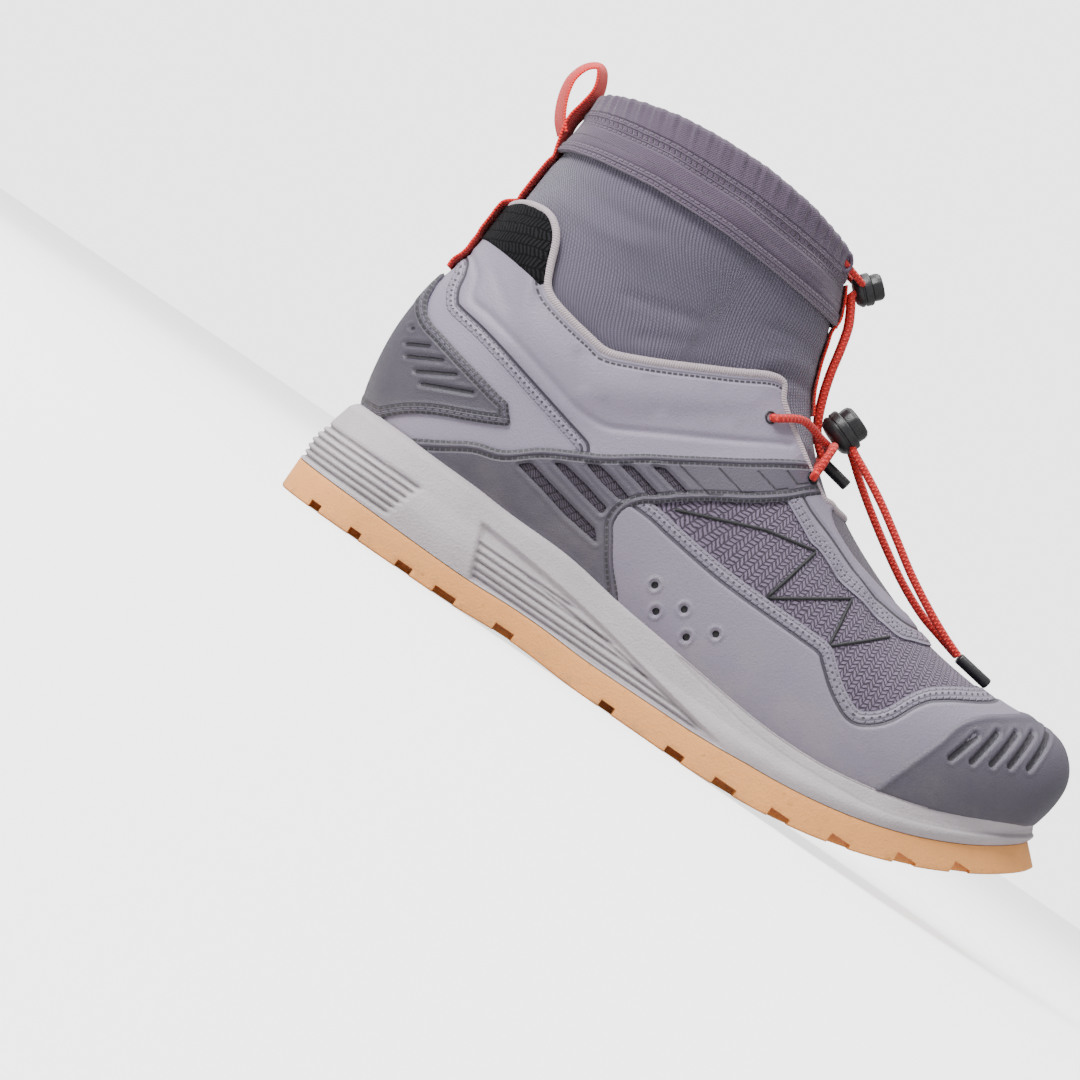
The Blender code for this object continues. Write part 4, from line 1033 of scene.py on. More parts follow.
GUARD_EDGE = (
    (100, 66.6), (115, 66), (125, 64.5), (140, 62.5), (150, 61.5), (165, 60.8), (180, 60.3),
    (190, 59.5), (195, 56), (200, 52), (205, 49), (210, 47.2), (214, 49), (218, 53),
    (222, 60), (226, 65), (230, 68), (235, 71), (240, 73.5), (245, 76), (250, 79),
    (254, 83),
)
DRAINS = ((129.5, 43.8), (142.5, 42.5), (156, 41.5), (135, 37), (148.5, 35.5))
CAP_REAR = (
    (224, 18), (228.7, 28.7), (231.5, 36), (235, 45), (238.5, 53), (241, 60), (245, 65),
    (250, 69), (255, 71.8), (260, 74.5), (265, 77), (270, 79.8), (276, 86),
)
CAP_SLITS = (
    ((245.5, 51), (249.5, 61)), ((252.5, 54), (256, 65.5)), ((259, 57), (262.5, 69)),
    ((265, 60), (268.5, 72)), ((271.5, 63), (275, 76)),
)
PLATE_EDGE = (
    (140, 97), (150, 92.5), (155, 90), (160, 87.5), (165, 85), (170, 84), (180, 80),
    (190, 77.8), (200, 76), (209, 74.8), (215, 76.5), (220, 78), (226, 80.4), (231, 84),
)
PLATE_LINE = drawn(
    ((154, 96.5), (160, 93.5), (170, 90), (180, 86), (190, 82.5), (200, 80.5), (208, 79.8),
     (215, 80.6), (221, 82.9)),
)
WINDOW = (
    ((169, 112), (166, 100.5), (165.5, 98), (170, 94.2), (180, 89.7), (190, 87), (200, 85),
     (207, 83.9)),
    ((207, 83.9), (213.5, 85.2), (222, 92)),
    ((222, 92), (169, 112)),
)
WINDOW_CLOTH = (
    (163, 118), (161.5, 99), (170, 91.5), (180, 87.4), (190, 84.6), (200, 82.8), (208, 82.2),
    (215, 83.6), (222, 88), (222, 118),
)
ZIGZAG = ((120, 69), (150, 81), (169, 85), (163, 61.5), (188.5, 78.5), (190, 60), (207.5, 75.5))


QUARTER = (
    ((-12, 101), (8, 101), (13.5, 97.5), (16, 88), (22, 84), (40, 80), (60, 75),
     (82, 71), (86, 66)),
    ((86, 66), (70, 57), (50, 46), (30, 34), (-12, 34)),
)
COLLAR = (
    COLLAR_SEAM,
    ((80, 66.5), (92, 68.5), (102, 75.5), (112, 81.5), (122, 87.5), (132, 93.5), (142, 100),
     (156, 106), (172, 112)),
    ((172, 112), (172, 150)),
    ((172, 150), (-12, 150)),
)
HEEL_TAB = (
    ((-12, 110), (11.5, 110), (20, 109), (30, 107.5), (39.5, 106)),
    ((39.5, 106), (52, 150)),
    ((52, 150), (-12, 150)),
)
GUARD = (
    GUARD_EDGE,
    ((254, 83), (272, 90), (262, 72), (250, 62), (240, 40), (236, 16)),
    ((236, 16), (118, 16)),
    ((118, 16), (122, 32), (112, 42), (103, 52), (100, 66.6)),
)
PLATE = (
    PLATE_EDGE,
    ((231, 84), (231, 130)),
    ((231, 130), (150, 130)),
    ((150, 130), (140, 97)),
)
CAP = (
    CAP_REAR,
    ((276, 86), (310, 86)),
    ((310, 86), (310, 18)),
    ((310, 18), (224, 18)),
)
DRAIN_RADIUS = 1.25


def drain_outlines():
    """A round outline for each drain hole."""
    turn = np.linspace(0, 2 * math.pi, 14, endpoint=False)
    circle = [(DRAIN_RADIUS * math.cos(a), DRAIN_RADIUS * math.sin(a)) for a in turn]
    return [Line([(s + across, h + high) for across, high in circle], closed=True) for s, h in DRAINS]


def smooth_loop(points):
    """A closed outline with its corners rounded."""
    p = np.array(points, float)
    cut = []
    for k in range(len(p)):
        back, here, on = p[k - 1] - p[k], p[k], p[(k + 1) % len(p)] - p[k]
        back, on = (way * min(0.7 / np.hypot(*way), 0.3) for way in (back, on))
        cut += [here + back, here + (back + on) * 0.3, here + on]
    return np.array(cut)


def hand_placed(table, s, h):
    """Soft troughs (negative) and ridges: each a line with its half width and depth in millimetres."""
    total = np.zeros_like(s)
    for half, depth, points in table:
        line = drawn(points)
        gap, run = Line(line).near(s, h, half + 2.0)
        length = run_along(line)[-1]
        ends = step_up(0, 0.25 * length, run) * step_up(0, 0.25 * length, length - run)
        total += depth * np.exp(-(gap / half * 1.7) ** 2) * ends
    return total


FOREFOOT_CREASES = (
    # half width, depth, line
    (4.0, -0.55, ((176, 84), (184, 76), (190, 66))),
    (4.5, 0.45, ((183, 86), (192, 77), (197, 67))),
    (3.5, -0.40, ((192, 84), (199, 76), (204, 66))),
    (4.0, -0.35, ((160, 80), (166, 74), (170, 66))),
)
COLLAR_CREASES = (
    (3.5, -0.55, ((60, 97), (66, 90), (72, 84))),
    (4.0, 0.40, ((66, 98), (73, 91), (80, 85))),
    (4.5, -0.50, ((84, 104), (92, 98), (98, 91))),
    (4.0, -0.40, ((104, 114), (112, 107), (120, 101))),
    (3.5, -0.35, ((20, 104), (28, 98), (36, 92))),
)


def collar_swell(s, h):
    """The padded roll below the collar's edge, drawn in along the channel under it."""
    below = np.interp(s, *TOPLINE.T) - h
    roll = np.exp(-((below - 12.6) / 10.5) ** 2)
    fades = np.clip((s - 9) / 18, 0, 1) * np.clip((150 - s) / 30, 0, 1)
    return 2.6 * roll * fades


def throat_field(skin):
    """Distance outside the opening between the eyelet flaps."""
    start, end = THROAT_SPAN
    a = np.abs(skin.s - (start + end) / 2) - (end - start) / 2 + THROAT_CORNER
    b = np.abs(skin.y) - THROAT_HALF + THROAT_CORNER
    out = np.hypot(np.maximum(a, 0), np.maximum(b, 0)) + np.minimum(np.maximum(a, b), 0) - THROAT_CORNER
    return np.where(skin.h > THROAT_FLOOR, out, 20.0)


BELOW_TOPLINE = [(330, 99.6), (330, -30), (-12, -30)]
COLLAR_REGION = Line(np.concatenate([TOPLINE, BELOW_TOPLINE]), closed=True)


def shell_field(skin):
    """Distance inside the upper's wall, below the collar and outside the throat."""
    collar = COLLAR_REGION.near(skin.s, skin.h, 40.0)[0]
    return np.minimum(collar, throat_field(skin))


def above(skin, height, by):
    """How far each point is over a height along the sole, in millimetres."""
    return (skin.points[..., 2] - height(skin.points[..., 0])) / MM - by


def trimmed(skin, field):
    """Moves the grid points nearest to where the field is zero onto it."""
    best = np.full(field.shape, 2.0)
    towards = np.zeros((*field.shape, 2), int)
    for step_i, step_k in ((1, 0), (-1, 0), (0, 1), (0, -1)):
        other = np.roll(field, (-step_i, -step_k), axis=(0, 1))
        if step_i == 1:
            other[-1] = field[-1]
        if step_i == -1:
            other[0] = field[0]
        crosses = (field > 0) != (other > 0)
        share = np.where(crosses, field / np.where(crosses, field - other, 1.0), 2.0)
        nearer = share < best
        best = np.where(nearer, share, best)
        towards[nearer] = (step_i, step_k)
    moves = best <= 0.5
    i, k = np.nonzero(moves)
    other_i = i + towards[i, k, 0]
    other_k = (k + towards[i, k, 1]) % field.shape[1]
    share = best[moves][:, None]
    grids = []
    for old in (skin.points, skin.normals, skin.cloth):
        new = old.copy()
        change = old[other_i, other_k] - old[i, k]
        if old is skin.cloth:
            change = np.where(np.abs(change) > 5, 0, change)
        new[i, k] += change * share
        grids.append(new)
    points, normals, cloth = grids
    normals /= np.linalg.norm(normals, axis=2, keepdims=True)
    return Skin.of(points, normals, cloth), np.where(moves, 0.0, field)


def cut_grid(name, skin, field, offset, material, maps=None):
    """The part of a skin where a field isn't negative, moved out by an offset in millimetres."""
    points = skin.at(offset * MM).reshape(-1, 3)
    corners = grid_faces(*field.shape)[1]
    inside = field.reshape(-1)[corners] > -1e-9
    some = (field.reshape(-1)[corners] > 0).any(axis=1)
    quads = corners[inside.all(axis=1) & some]
    three = (inside.sum(axis=1) == 3) & some
    tris = corners[three][inside[three]].reshape(-1, 3)
    a, b, c = points[quads[:, 0]], points[quads[:, 1]], points[quads[:, 2]]
    if np.sum(np.cross(b - a, c - b) * skin.normals.reshape(-1, 3)[quads[:, 0]]) < 0:
        quads = quads[:, ::-1]
        tris = tris[:, ::-1]
    used = np.unique(np.concatenate([quads.ravel(), tris.ravel()]))
    number = np.full(len(points), -1)
    number[used] = np.arange(len(used))
    faces = number[quads].tolist() + number[tris].tolist()
    maps = {key: grid.reshape(-1, 2)[used] for key, grid in {"cloth": skin.cloth, **(maps or {})}.items()}
    return mesh_object(name, points[used], faces, material, maps)


SHARED = {}


def prepare_skins():
    """The fine skin that the panels share, and the field of the upper's wall on it."""
    SHARED["skin"] = Skin(PANEL_STEP)
    SHARED["shell"] = shell_field(SHARED["skin"])


def overlay(name, line, thick, material, slot, nodes=(), edge=None, holes=(), side=0, relief=None, mark=None):
    """A panel laid on the upper inside a closed outline, its edge rounded over, with holes and relief."""
    skin = SHARED["skin"]
    field = np.minimum(line.near(skin.s, skin.h)[0], SHARED["shell"])
    field = np.minimum(field, above(skin, rim, 0.15))
    for hole in holes:
        field = np.minimum(field, -hole.near(skin.s, skin.h)[0])
    if side:
        field = np.minimum(field, side * skin.y - 0.2)
    rows = np.nonzero((field > -3).any(axis=1))[0]
    part = slice(max(rows[0] - 1, 0), rows[-1] + 2)
    moved, inside = trimmed(Skin.of(skin.points[part], skin.normals[part], skin.cloth[part]), field[part])
    s, h = moved.s, moved.h
    if edge is None:
        off, run = np.abs(inside), line.near(s, h)[1]
    else:
        off, run = edge.near(s, h, 60.0)
    offset = UPPER_OUT / MM + collar_swell(s, h) + thick * (0.55 + 0.45 * step_up(0, 1.1, np.abs(inside)))
    if relief:
        offset = offset + relief(s, h, inside, off)
    maps = {"edge": np.stack([run, off], axis=2)}
    if mark:
        gap, run = mark.near(s, h, 30.0)
        maps["mark"] = np.stack([run, gap], axis=2)
    obj = cut_grid(name, moved, inside, offset, material, maps)
    thicken(obj, PANEL_WALL, 50, rim_only=True)
    return seat(obj, slot, *nodes)


def tree_of(*objects):
    """A search tree over the faces of some pieces."""
    points, faces = [], []
    for obj in objects:
        first = len(points)
        points += [v.co for v in obj.data.vertices]
        faces += [[first + k for k in polygon.vertices] for polygon in obj.data.polygons]
    return BVHTree.FromPolygons(points, faces)


def from_side(tree, x, z, sign):
    """Where a line from the outer (-1) or inner (1) side meets a piece, and the way it faces there."""
    return tree.ray_cast(Vector((x, sign * LENGTH, z)), Vector((0, -sign, 0)))[:2]


def hit(tree, start, towards):
    """Where a line meets a piece, which it has to."""
    found = tree.ray_cast(Vector(start), Vector(towards).normalized())[0]
    if found is None:
        raise ValueError(f"nothing lies from {start} towards {towards}")
    return found


def border_loops(obj):
    """The open edges of a sheet as closed chains of points."""
    mesh = obj.data
    count = {}
    for polygon in mesh.polygons:
        for edge in polygon.edge_keys:
            count[edge] = count.get(edge, 0) + 1
    links = {}
    for (a, b), faces in count.items():
        if faces == 1:
            links.setdefault(a, []).append(b)
            links.setdefault(b, []).append(a)
    chains = []
    while links:
        start = next(iter(links))
        chain = [start]
        here = start
        while links.get(here):
            there = links[here].pop()
            links[there].remove(here)
            if not links[here]:
                del links[here]
            chain.append(there)
            here = there
        links.pop(here, None)
        chains.append(np.array([mesh.vertices[k].co for k in chain]))
    return chains


def even_path(points, spacing, smooth=0, closed=False):
    """A path resampled at even steps, after rounds of smoothing."""
    p = np.asarray(points, float)
    for _ in range(smooth):
        if closed:
            p = (np.roll(p, 1, axis=0) + 2 * p + np.roll(p, -1, axis=0)) / 4
        else:
            p[1:-1] = (p[:-2] + 2 * p[1:-1] + p[2:]) / 4
    if closed:
        p = np.concatenate([p, p[:1]])
    made = resampled(p, max(int(run_along(p)[-1] / spacing), 3))
    return made[:-1] if closed else made


def tube(name, path, radius, material, sides=12, closed=False, relief=None):
    """A round cord along a path, with a map of its girth and its run in millimetres."""
    p = np.asarray(path, float)
    tangent = np.roll(p, -1, axis=0) - np.roll(p, 1, axis=0)
    if not closed:
        tangent[0], tangent[-1] = p[1] - p[0], p[-1] - p[-2]
    tangent /= np.linalg.norm(tangent, axis=1, keepdims=True)
    across = np.empty_like(p)
    start = np.cross(tangent[0], (0.0, 1.0, 0.0))
    if np.linalg.norm(start) < 0.1:
        start = np.cross(tangent[0], (1.0, 0.0, 0.0))
    across[0] = start / np.linalg.norm(start)
    for i in range(1, len(p)):
        turned = across[i - 1] - tangent[i] * np.dot(across[i - 1], tangent[i])
        across[i] = turned / np.linalg.norm(turned)
    other = np.cross(tangent, across)
    gone = run_along(p)
    angle = np.linspace(0, 2 * math.pi, sides, endpoint=False)
    wide = np.full(len(p), radius) if relief is None else radius * relief(gone / MM)
    ring = across[:, None] * np.cos(angle)[None, :, None] + other[:, None] * np.sin(angle)[None, :, None]
    rows = len(p)
    index = np.arange(rows * sides).reshape(rows, sides)
    if closed:
        index = np.vstack([index, index[:1]])
    nxt = np.roll(index, -1, axis=1)
    faces = np.stack([index[:-1], index[1:], nxt[1:], nxt[:-1]], axis=2).reshape(-1, 4).tolist()
    if not closed:
        faces += [index[0].tolist(), index[-1][::-1].tolist()]
    obj = mesh_object(name, (p[:, None] + ring * wide[:, None, None]).reshape(-1, 3), faces, material)
    layer = obj.data.uv_layers.new(name="cloth")
    girth = 2 * math.pi * radius / MM
    for polygon in obj.data.polygons:
        ks = [v % sides for v in polygon.vertices]
        ring_of = [v // sides for v in polygon.vertices]
        for loop, k, i in zip(polygon.loop_indices, ks, ring_of):
            k = k + sides if k == 0 and sides - 1 in ks else k
            last = closed and i == 0 and rows - 1 in ring_of
            layer.data[loop].uv = (girth * k / sides, ((gone[-1] + gone[1]) if last else gone[i]) / MM)
    square_up(obj)
    return obj


BAND_SIDES = 48


def ribbon(name, path, wide, thick, material, bow, turned=None):
    """A flat woven band along a path in the middle plane, with rounded edges and a map in millimetres."""
    p = np.asarray(path, float)
    tangent = np.gradient(p, axis=0)
    tangent /= np.linalg.norm(tangent, axis=1, keepdims=True)
    normal = np.stack([tangent[:, 1], -tangent[:, 0]], axis=1)
    turn = np.linspace(0, 2 * math.pi, BAND_SIDES, endpoint=False)
    y = wide / 2 * np.sign(np.cos(turn)) * np.abs(np.cos(turn)) ** 0.55
    lift = thick / 2 * np.sign(np.sin(turn)) * np.abs(np.sin(turn)) ** 0.45
    bowed = np.broadcast_to(lift - bow * (2 * y / wide) ** 2, (len(p), len(turn)))
    if turned is not None:
        bowed = bowed + y * np.tan(turned)[:, None]
    points = np.empty((len(p), len(turn), 3))
    points[..., 0] = p[:, :1] + normal[:, :1] * bowed
    points[..., 1] = y
    points[..., 2] = p[:, 1:] + normal[:, 1:] * bowed
    maps = np.empty((len(p), len(turn), 2))
    maps[..., 0] = y / MM
    maps[..., 1] = run_along(p)[:, None] / MM
    faces = capped_faces(len(p), len(turn))
    obj = mesh_object(name, points.reshape(-1, 3), faces, material, {"cloth": maps.reshape(-1, 2)})
    square_up(obj)
    return obj


# The sole


def sole_outline(steps):
    """The outsole's outline, from the heel along the outer side, at even steps."""
    width = {"ball": BALL_WIDTH, "heel": HEEL_WIDTH}
    outer = [(along(a), -o * PERCENT * width[w]) for a, w, o, i in SOLE_OUTLINE]
    inner = [(along(a), i * PERCENT * width[w]) for a, w, o, i in SOLE_OUTLINE]
    loop = [(along(0), 0.0), *outer, (along(100), TOE_TIP_INWARD * PERCENT * BALL_WIDTH), *inner[::-1]]
    smooth = smooth_run([*loop[-2:], *loop, *loop[:2]], 16)[32:-16]
    closed = np.stack([smooth[:, 0], smooth[:, 1], np.zeros(len(smooth))], axis=1)
    made = even_path(closed[:-1], LENGTH * 2.6 / steps, closed=True)
    return made[:, :2]


def loop_normals(ring):
    """The way out of a closed loop at each of its points."""
    tangent = np.roll(ring, -1, axis=0) - np.roll(ring, 1, axis=0)
    normal = np.stack([tangent[:, 1], -tangent[:, 0]], axis=1)
    normal /= np.linalg.norm(normal, axis=1, keepdims=True)
    outward = np.sum(normal * (ring - ring.mean(axis=0)))
    return normal * np.sign(outward)


def leaned(loop, height):
    """A loop moved up by a height, square to the sole."""
    limit = along(97)
    return np.stack([loop[:, 0] - slope(np.minimum(loop[:, 0], limit)) * height, loop[:, 1]], axis=1)


def rim_loop(ring):
    """Where the upper's skin meets the midsole's rim, plus the lip, for each outline point."""
    skin = Skin(3.0)
    points = skin.at(np.full(skin.s.shape, UPPER_OUT))
    index, faces = grid_faces(*skin.s.shape)
    faces = faces.tolist() + [index[0].tolist(), index[-1].tolist()]
    tree = BVHTree.FromPolygons(points.reshape(-1, 3).tolist(), faces)
    found = []
    for x, y in ring:
        centre_x = min(max(x, along(14)), along(84))
        centre_y = 0.03 * BALL_WIDTH * max(0.0, (x - along(70)) / (0.3 * LENGTH))
        direction = Vector((x - centre_x, y - centre_y, 0)).normalized()
        if centre_x == x:
            direction = Vector((0, math.copysign(1, y), 0))
        spot = Vector((x, y, 0))
        for _ in range(4):
            start = Vector((spot.x, spot.y, float(rim(spot.x)))) + direction * LENGTH / 6
            spot = hit(tree, start, -direction)
        found.append((spot.x + direction.x * (GAP + LIP), spot.y + direction.y * (GAP + LIP), 0.0))
    p = np.array(found)
    for _ in range(3):
        p = (np.roll(p, 1, axis=0) + 2 * p + np.roll(p, -1, axis=0)) / 4
    return p[:, :2]


# Tables of the midsole's side: grooves by height, their ends by place, and lines as places in the side view
SIDE_LEAN = ((0, 0), (0.32, 0.02), (0.50, 0.12), (0.60, 0.30), (0.90, 0.62), (1, 0.94))
HEEL_GROOVES = (25.0, 22.4, 19.7, 17.0, 14.4, 12.0)
ARCH_GROOVES = ((21.3, 110), (18.5, 128), (15.8, 145), (13.1, 158), (10.9, 168))
ARCH_TOP = (
    (66, 28), (82, 26.8), (95, 25.6), (110, 23.8), (125, 21.4), (140, 18.4), (150, 16.6),
    (160, 14.8), (170, 13), (182, 11),
)
ARCH_CREASE = (
    (90, 20.8), (110, 19.3), (120, 18.7), (140, 16.2), (150, 14.8), (160, 13.2), (170, 11.8),
)
FORE_STEP = (
    (146, 28), (150, 27), (160, 25), (170, 23.2), (180, 21.4), (190, 20.7), (200, 20.5),
    (210, 21.1), (220, 21.8), (230, 22.6), (240, 24.7), (250, 27.8), (260, 31.6), (270, 35.8),
    (280, 40.8), (290, 45.8), (300, 51),
)
MIDSOLE_LIP = (
    # distance inwards, drop, in millimetres
    (0.6, -0.25), (1.2, -0.25), (1.9, 0.3), (2.4, 3), (4, 8),
)


def sole_faces(rows, columns):
    """The faces of a stack of loops, its ends closed by strips across."""
    index, faces = grid_faces(rows, columns)
    faces = faces.tolist()
    for row in (index[0], index[-1]):
        faces += [[row[k], row[k + 1], row[-k - 1], row[-k]] for k in range(1, columns // 2 - 1)]
        faces.append([row[0], row[1], row[-1]])
    return faces


def sole_relief(s, h):
    """How far the midsole's side stands in or out, in millimetres, and how creased it is, from 0 to 1, which
    sets the painted shade in its grooves.
    """
    end = 39 + (h - 12) * 4.5 / 13
    heel = 1 - step_up(-1.2, 0.6, s - end)
    out = np.zeros_like(s)
    crease_shade = np.zeros_like(s)
    for level in HEEL_GROOVES:
        cut = hump(level, 0.95, h) * heel
        out -= 1.15 * cut
        crease_shade = np.maximum(crease_shade, cut)
    out -= 0.5 * heel * step_up(10.2, 11.4, h) * (1 - step_up(25.6, 27.0, h))
    top = np.interp(s, *np.transpose(ARCH_TOP))
    starts = step_up(-0.6, 1.2, s - (75 - (h - 9.5) * 7.5 / 18.5))
    inside = starts * (1 - step_up(-1.1, 0.4, h - top)) * (1 - step_up(166.0, 182.0, s))
    out -= 1.9 * inside
    for level, last in ARCH_GROOVES:
        cut = hump(level, 0.9, h) * inside * (1 - step_up(last - 2, last + 2, s))
        out -= 0.95 * cut
        crease_shade = np.maximum(crease_shade, cut)
    line = np.interp(s, *np.transpose(ARCH_CREASE))
    cut = hump(0.0, 0.9, h - line) * step_up(88, 94, s) * (1 - step_up(166, 172, s))
    out -= 0.9 * cut
    crease_shade = np.maximum(crease_shade, 0.7 * cut)
    step = np.interp(s, *np.transpose(FORE_STEP))
    fore = step_up(146.0, 152.0, s)
    out -= 1.1 * fore * step_up(-0.5, 0.5, h - step)
    crease_shade = np.maximum(crease_shade, 0.6 * fore * hump(0.3, 0.8, h - step))
    return out, crease_shade


def build_midsole(material):
    """The midsole, open on top for the footbed, with its grooves."""
    ring = sole_outline(640)
    low = leaned(ring, OUTSOLE)
    rim_at = rim_loop(ring)
    outward = loop_normals(low)
    levels = np.linspace(0, 1, 66)
    lean = np.interp(levels, *np.transpose(SIDE_LEAN))
    loops, marks = [], []
    for level, share in zip(levels, lean):
        base = (1 - share) * low + share * rim_at
        z = (1 - level) * (outsole_top(base[:, 0]) + GAP) + level * rim(base[:, 0])
        s = (base[:, 0] - SOLE_LOW.x) / MM
        out, crease_shade = sole_relief(s, z / MM - RISE)
        bulge = 0.9 * math.sin(math.pi * min(level * 1.9, 1)) - 0.9 * max(0, (level - 0.96) / 0.04) ** 2
        fade = step_up(0.0, 0.03, level) * (1 - step_up(0.95, 1.0, level))
        base = base + outward * ((out * fade + bulge) * MM)[:, None]
        loops.append(np.column_stack([base, z]))
        # the creases set the painted shade in the foam's colour
        marks.append(crease_shade)
    z_rim = rim(rim_at[:, 0])
    inward = loop_normals(rim_at)
    for distance, drop in MIDSOLE_LIP:
        base = rim_at - inward * distance * MM
        loops.append(np.column_stack([base, z_rim - drop * MM]))
        # painted shade, light on the lip's top and full where it drops into the basin under the upper
        marks.append(np.full(len(ring), 0.2 if drop < 1 else 1.0))
    points = np.concatenate(loops)
    maps = {"edge": np.stack([np.zeros(len(points)), np.concatenate(marks)], axis=1)}
    obj = mesh_object("boot_midsole", points, sole_faces(len(loops), len(ring)), material, maps)
    square_up(obj)
    return seat(obj, "foam", "midsole")


SIDE_GAPS = (
    # place, width in millimetres
    (16.3, 3.5), (33.3, 4), (54, 5.5), (71, 8), (95, 7), (139, 5), (167, 6.5), (187, 8),
    (208, 7), (230, 7), (253, 7), (272, 6), (286.5, 4.5),
)
TREAD_CHANNELS = (33.3, 54.0, 75.0, 156.0, 175.5, 196.5, 217.5, 238.5, 259.5)
TREAD_BORDER = 13.0
LUG_DEPTH = 4.5
CHANNEL_HALF = 2.6
GAP_DEPTH = 2.8


def cutter_box(name, corners, tops):
    """A box from under the floor up to a height at each of its four corners."""
    points = [(x, y, -0.01) for x, y in corners] + [(x, y, t) for (x, y), t in zip(corners, tops)]
    faces = [(0, 1, 2, 3), (7, 6, 5, 4), (0, 4, 5, 1), (1, 5, 6, 2), (2, 6, 7, 3), (3, 7, 4, 0)]
    obj = mesh_object(name, points, faces)
    square_up(obj)
    return obj


def build_outsole(material):
    """The outsole, with gaps cut into its sides and channels between its lugs."""
    ring = sole_outline(300)
    top = leaned(ring, OUTSOLE)
    outward = loop_normals(ring)
    eased = ring - outward * 0.6 * MM
    loops = [np.column_stack([eased, underside(eased[:, 0])])]
    for share in np.linspace(0, 1, 6):
        base = ring + (top - ring) * share
        low = underside(base[:, 0]) + 0.6 * MM
        high = outsole_top(base[:, 0])
        loops.append(np.column_stack([base, low + (high - low) * share]))
    faces = sole_faces(len(loops), len(ring))
    obj = mesh_object("boot_outsole", np.concatenate(loops), faces, material)
    square_up(obj)

    def half_width(x, outer):
        part = ring[ring[:, 1] < 0] if outer else ring[ring[:, 1] > 0]
        part = part[np.argsort(part[:, 0])]
        return abs(np.interp(x, part[:, 0], part[:, 1]))

    cutters = []
    for sign, outer in ((-1, True), (1, False)):
        for number, (s, wide) in enumerate(SIDE_GAPS):
            x = SOLE_LOW.x + s * MM
            edge = half_width(x, outer)
            a, b = x - wide / 2 * MM, x + wide / 2 * MM
            height = float(underside(x)) + GAP_DEPTH * MM
            near, far = sign * (edge - 7.5 * MM), sign * (edge + 8 * MM)
            corners = [(a, near), (b, near), (b + 0.8 * MM, far), (a - 0.8 * MM, far)]
            cutters.append(cutter_box(f"gap_{outer}_{number}", corners, [height] * 4))
        for number, s in enumerate(TREAD_CHANNELS):
            x = SOLE_LOW.x + s * MM
            edge = half_width(x, outer) - TREAD_BORDER * MM
            back = x - 0.35 * edge
            half = CHANNEL_HALF * MM
            middle = sign * -0.6 * MM
            corners = [(x - half, middle), (x + half, middle), (back + half, sign * edge),
                       (back - half, sign * edge)]
            tops = [float(underside(at)) + LUG_DEPTH * MM for at in (x, x, back, back)]
            cutters.append(cutter_box(f"channel_{outer}_{number}", corners, tops))
    for cutter in cutters:
        apply_modifier(obj, "BOOLEAN", object=cutter, operation="DIFFERENCE", solver="EXACT")
    for cutter in cutters:
        bpy.data.meshes.remove(cutter.data)
    bevel(obj, 0.45, 2)
    mesh = obj.data
    co = np.empty(len(mesh.vertices) * 3)
    mesh.vertices.foreach_get("co", co)
    co = co.reshape(-1, 3)
    rise = (co[:, 2] - underside(co[:, 0])) / MM
    upright = co[:, 0] / MM + slope(np.minimum(co[:, 0], along(97))) * rise
    inset = Line(ring / MM, closed=True).near(upright, co[:, 1] / MM, 60.0)[0]
    deep = step_up(0.6, 2.2, rise) * step_up(0.3, 1.2, inset)
    add_map(mesh, "edge", np.stack([np.zeros(len(deep)), deep], axis=1))
    square_up(obj, 40)
    return seat(obj, "gum_rubber", "outsole")


# The upper's layers


def build_base(material):
    """The upper's one wall, from the footbed to the collar."""
    skin = Skin(SHELL_STEP)
    field = np.minimum(shell_field(skin), above(skin, footbed, 0.4))
    moved, inside = trimmed(skin, field)
    creases = hand_placed(FOREFOOT_CREASES + COLLAR_CREASES, moved.s, moved.h)
    offset = UPPER_OUT / MM + collar_swell(moved.s, moved.h) + creases
    sheet = cut_grid("boot_shell", moved, inside, offset, material)
    collar = max(border_loops(sheet), key=lambda chain: chain[:, 2].mean())
    SHARED["collar_border"] = even_path(collar[:-1], 1.4 * MM, smooth=6, closed=True)
    thicken(sheet, SHELL_WALL, 60)
    SHARED["shell_tree"] = tree_of(sheet)
    return seat(sheet, "coated_fabric", "upper")


def build_drain_shade(material):
    """Painted shade in the drain holes: black discs on the cloth behind them."""
    discs = []
    for s, h in DRAINS:
        x, z = place(s, h)
        for sign in (-1, 1):
            spot, facing = from_side(SHARED["shell_tree"], x, z, sign)
            bpy.ops.mesh.primitive_cylinder_add(
                vertices=20, radius=1.5 * MM, depth=0.8 * MM, location=spot, rotation=facing_turn(facing))
            discs.append(bpy.context.object)
    join_up(discs)
    return seat(settle("boot_drain_hole_shade", material, smooth=False), "hard_black")


def crease_relief(s, h, inside, off):
    return hand_placed(FOREFOOT_CREASES + COLLAR_CREASES, s, h)


def collar_relief(s, h, inside, off):
    channel = trough(Line(CHANNEL).near(s, h, 4.0)[0], 0, 1.3)
    raised = 0.35 * step_up(4.8, 6.0, off)
    return crease_relief(s, h, inside, off) - 0.8 * channel - 0.3 * trough(off, 4.6, 0.6) + raised


def slit_relief(slits, s, h, depth, half, outer, lip, lip_at):
    """Cut slits, each with a soft lip round it."""
    total = 0
    for slit in slits:
        gap = Line(slit).near(s, h, 4.0)[0]
        total = total - depth * (1 - step_up(half, outer, gap)) + lip * hump(lip_at, 0.9, gap)
    return total


def counter_relief(s, h, inside, off):
    return 0.35 * (1 - step_up(3.6, 4.8, off)) + slit_relief(COUNTER_SLITS, s, h, 0.8, 0.5, 1.3, 0.25, 1.9)


def cage_relief(s, h, inside, off):
    total = 0.3 * (1 - step_up(1.5, 2.6, np.abs(inside)))
    return total - 0.12 * trough(CAGE_MARKS.near(s, h, 4.0)[0], 0, 0.7)


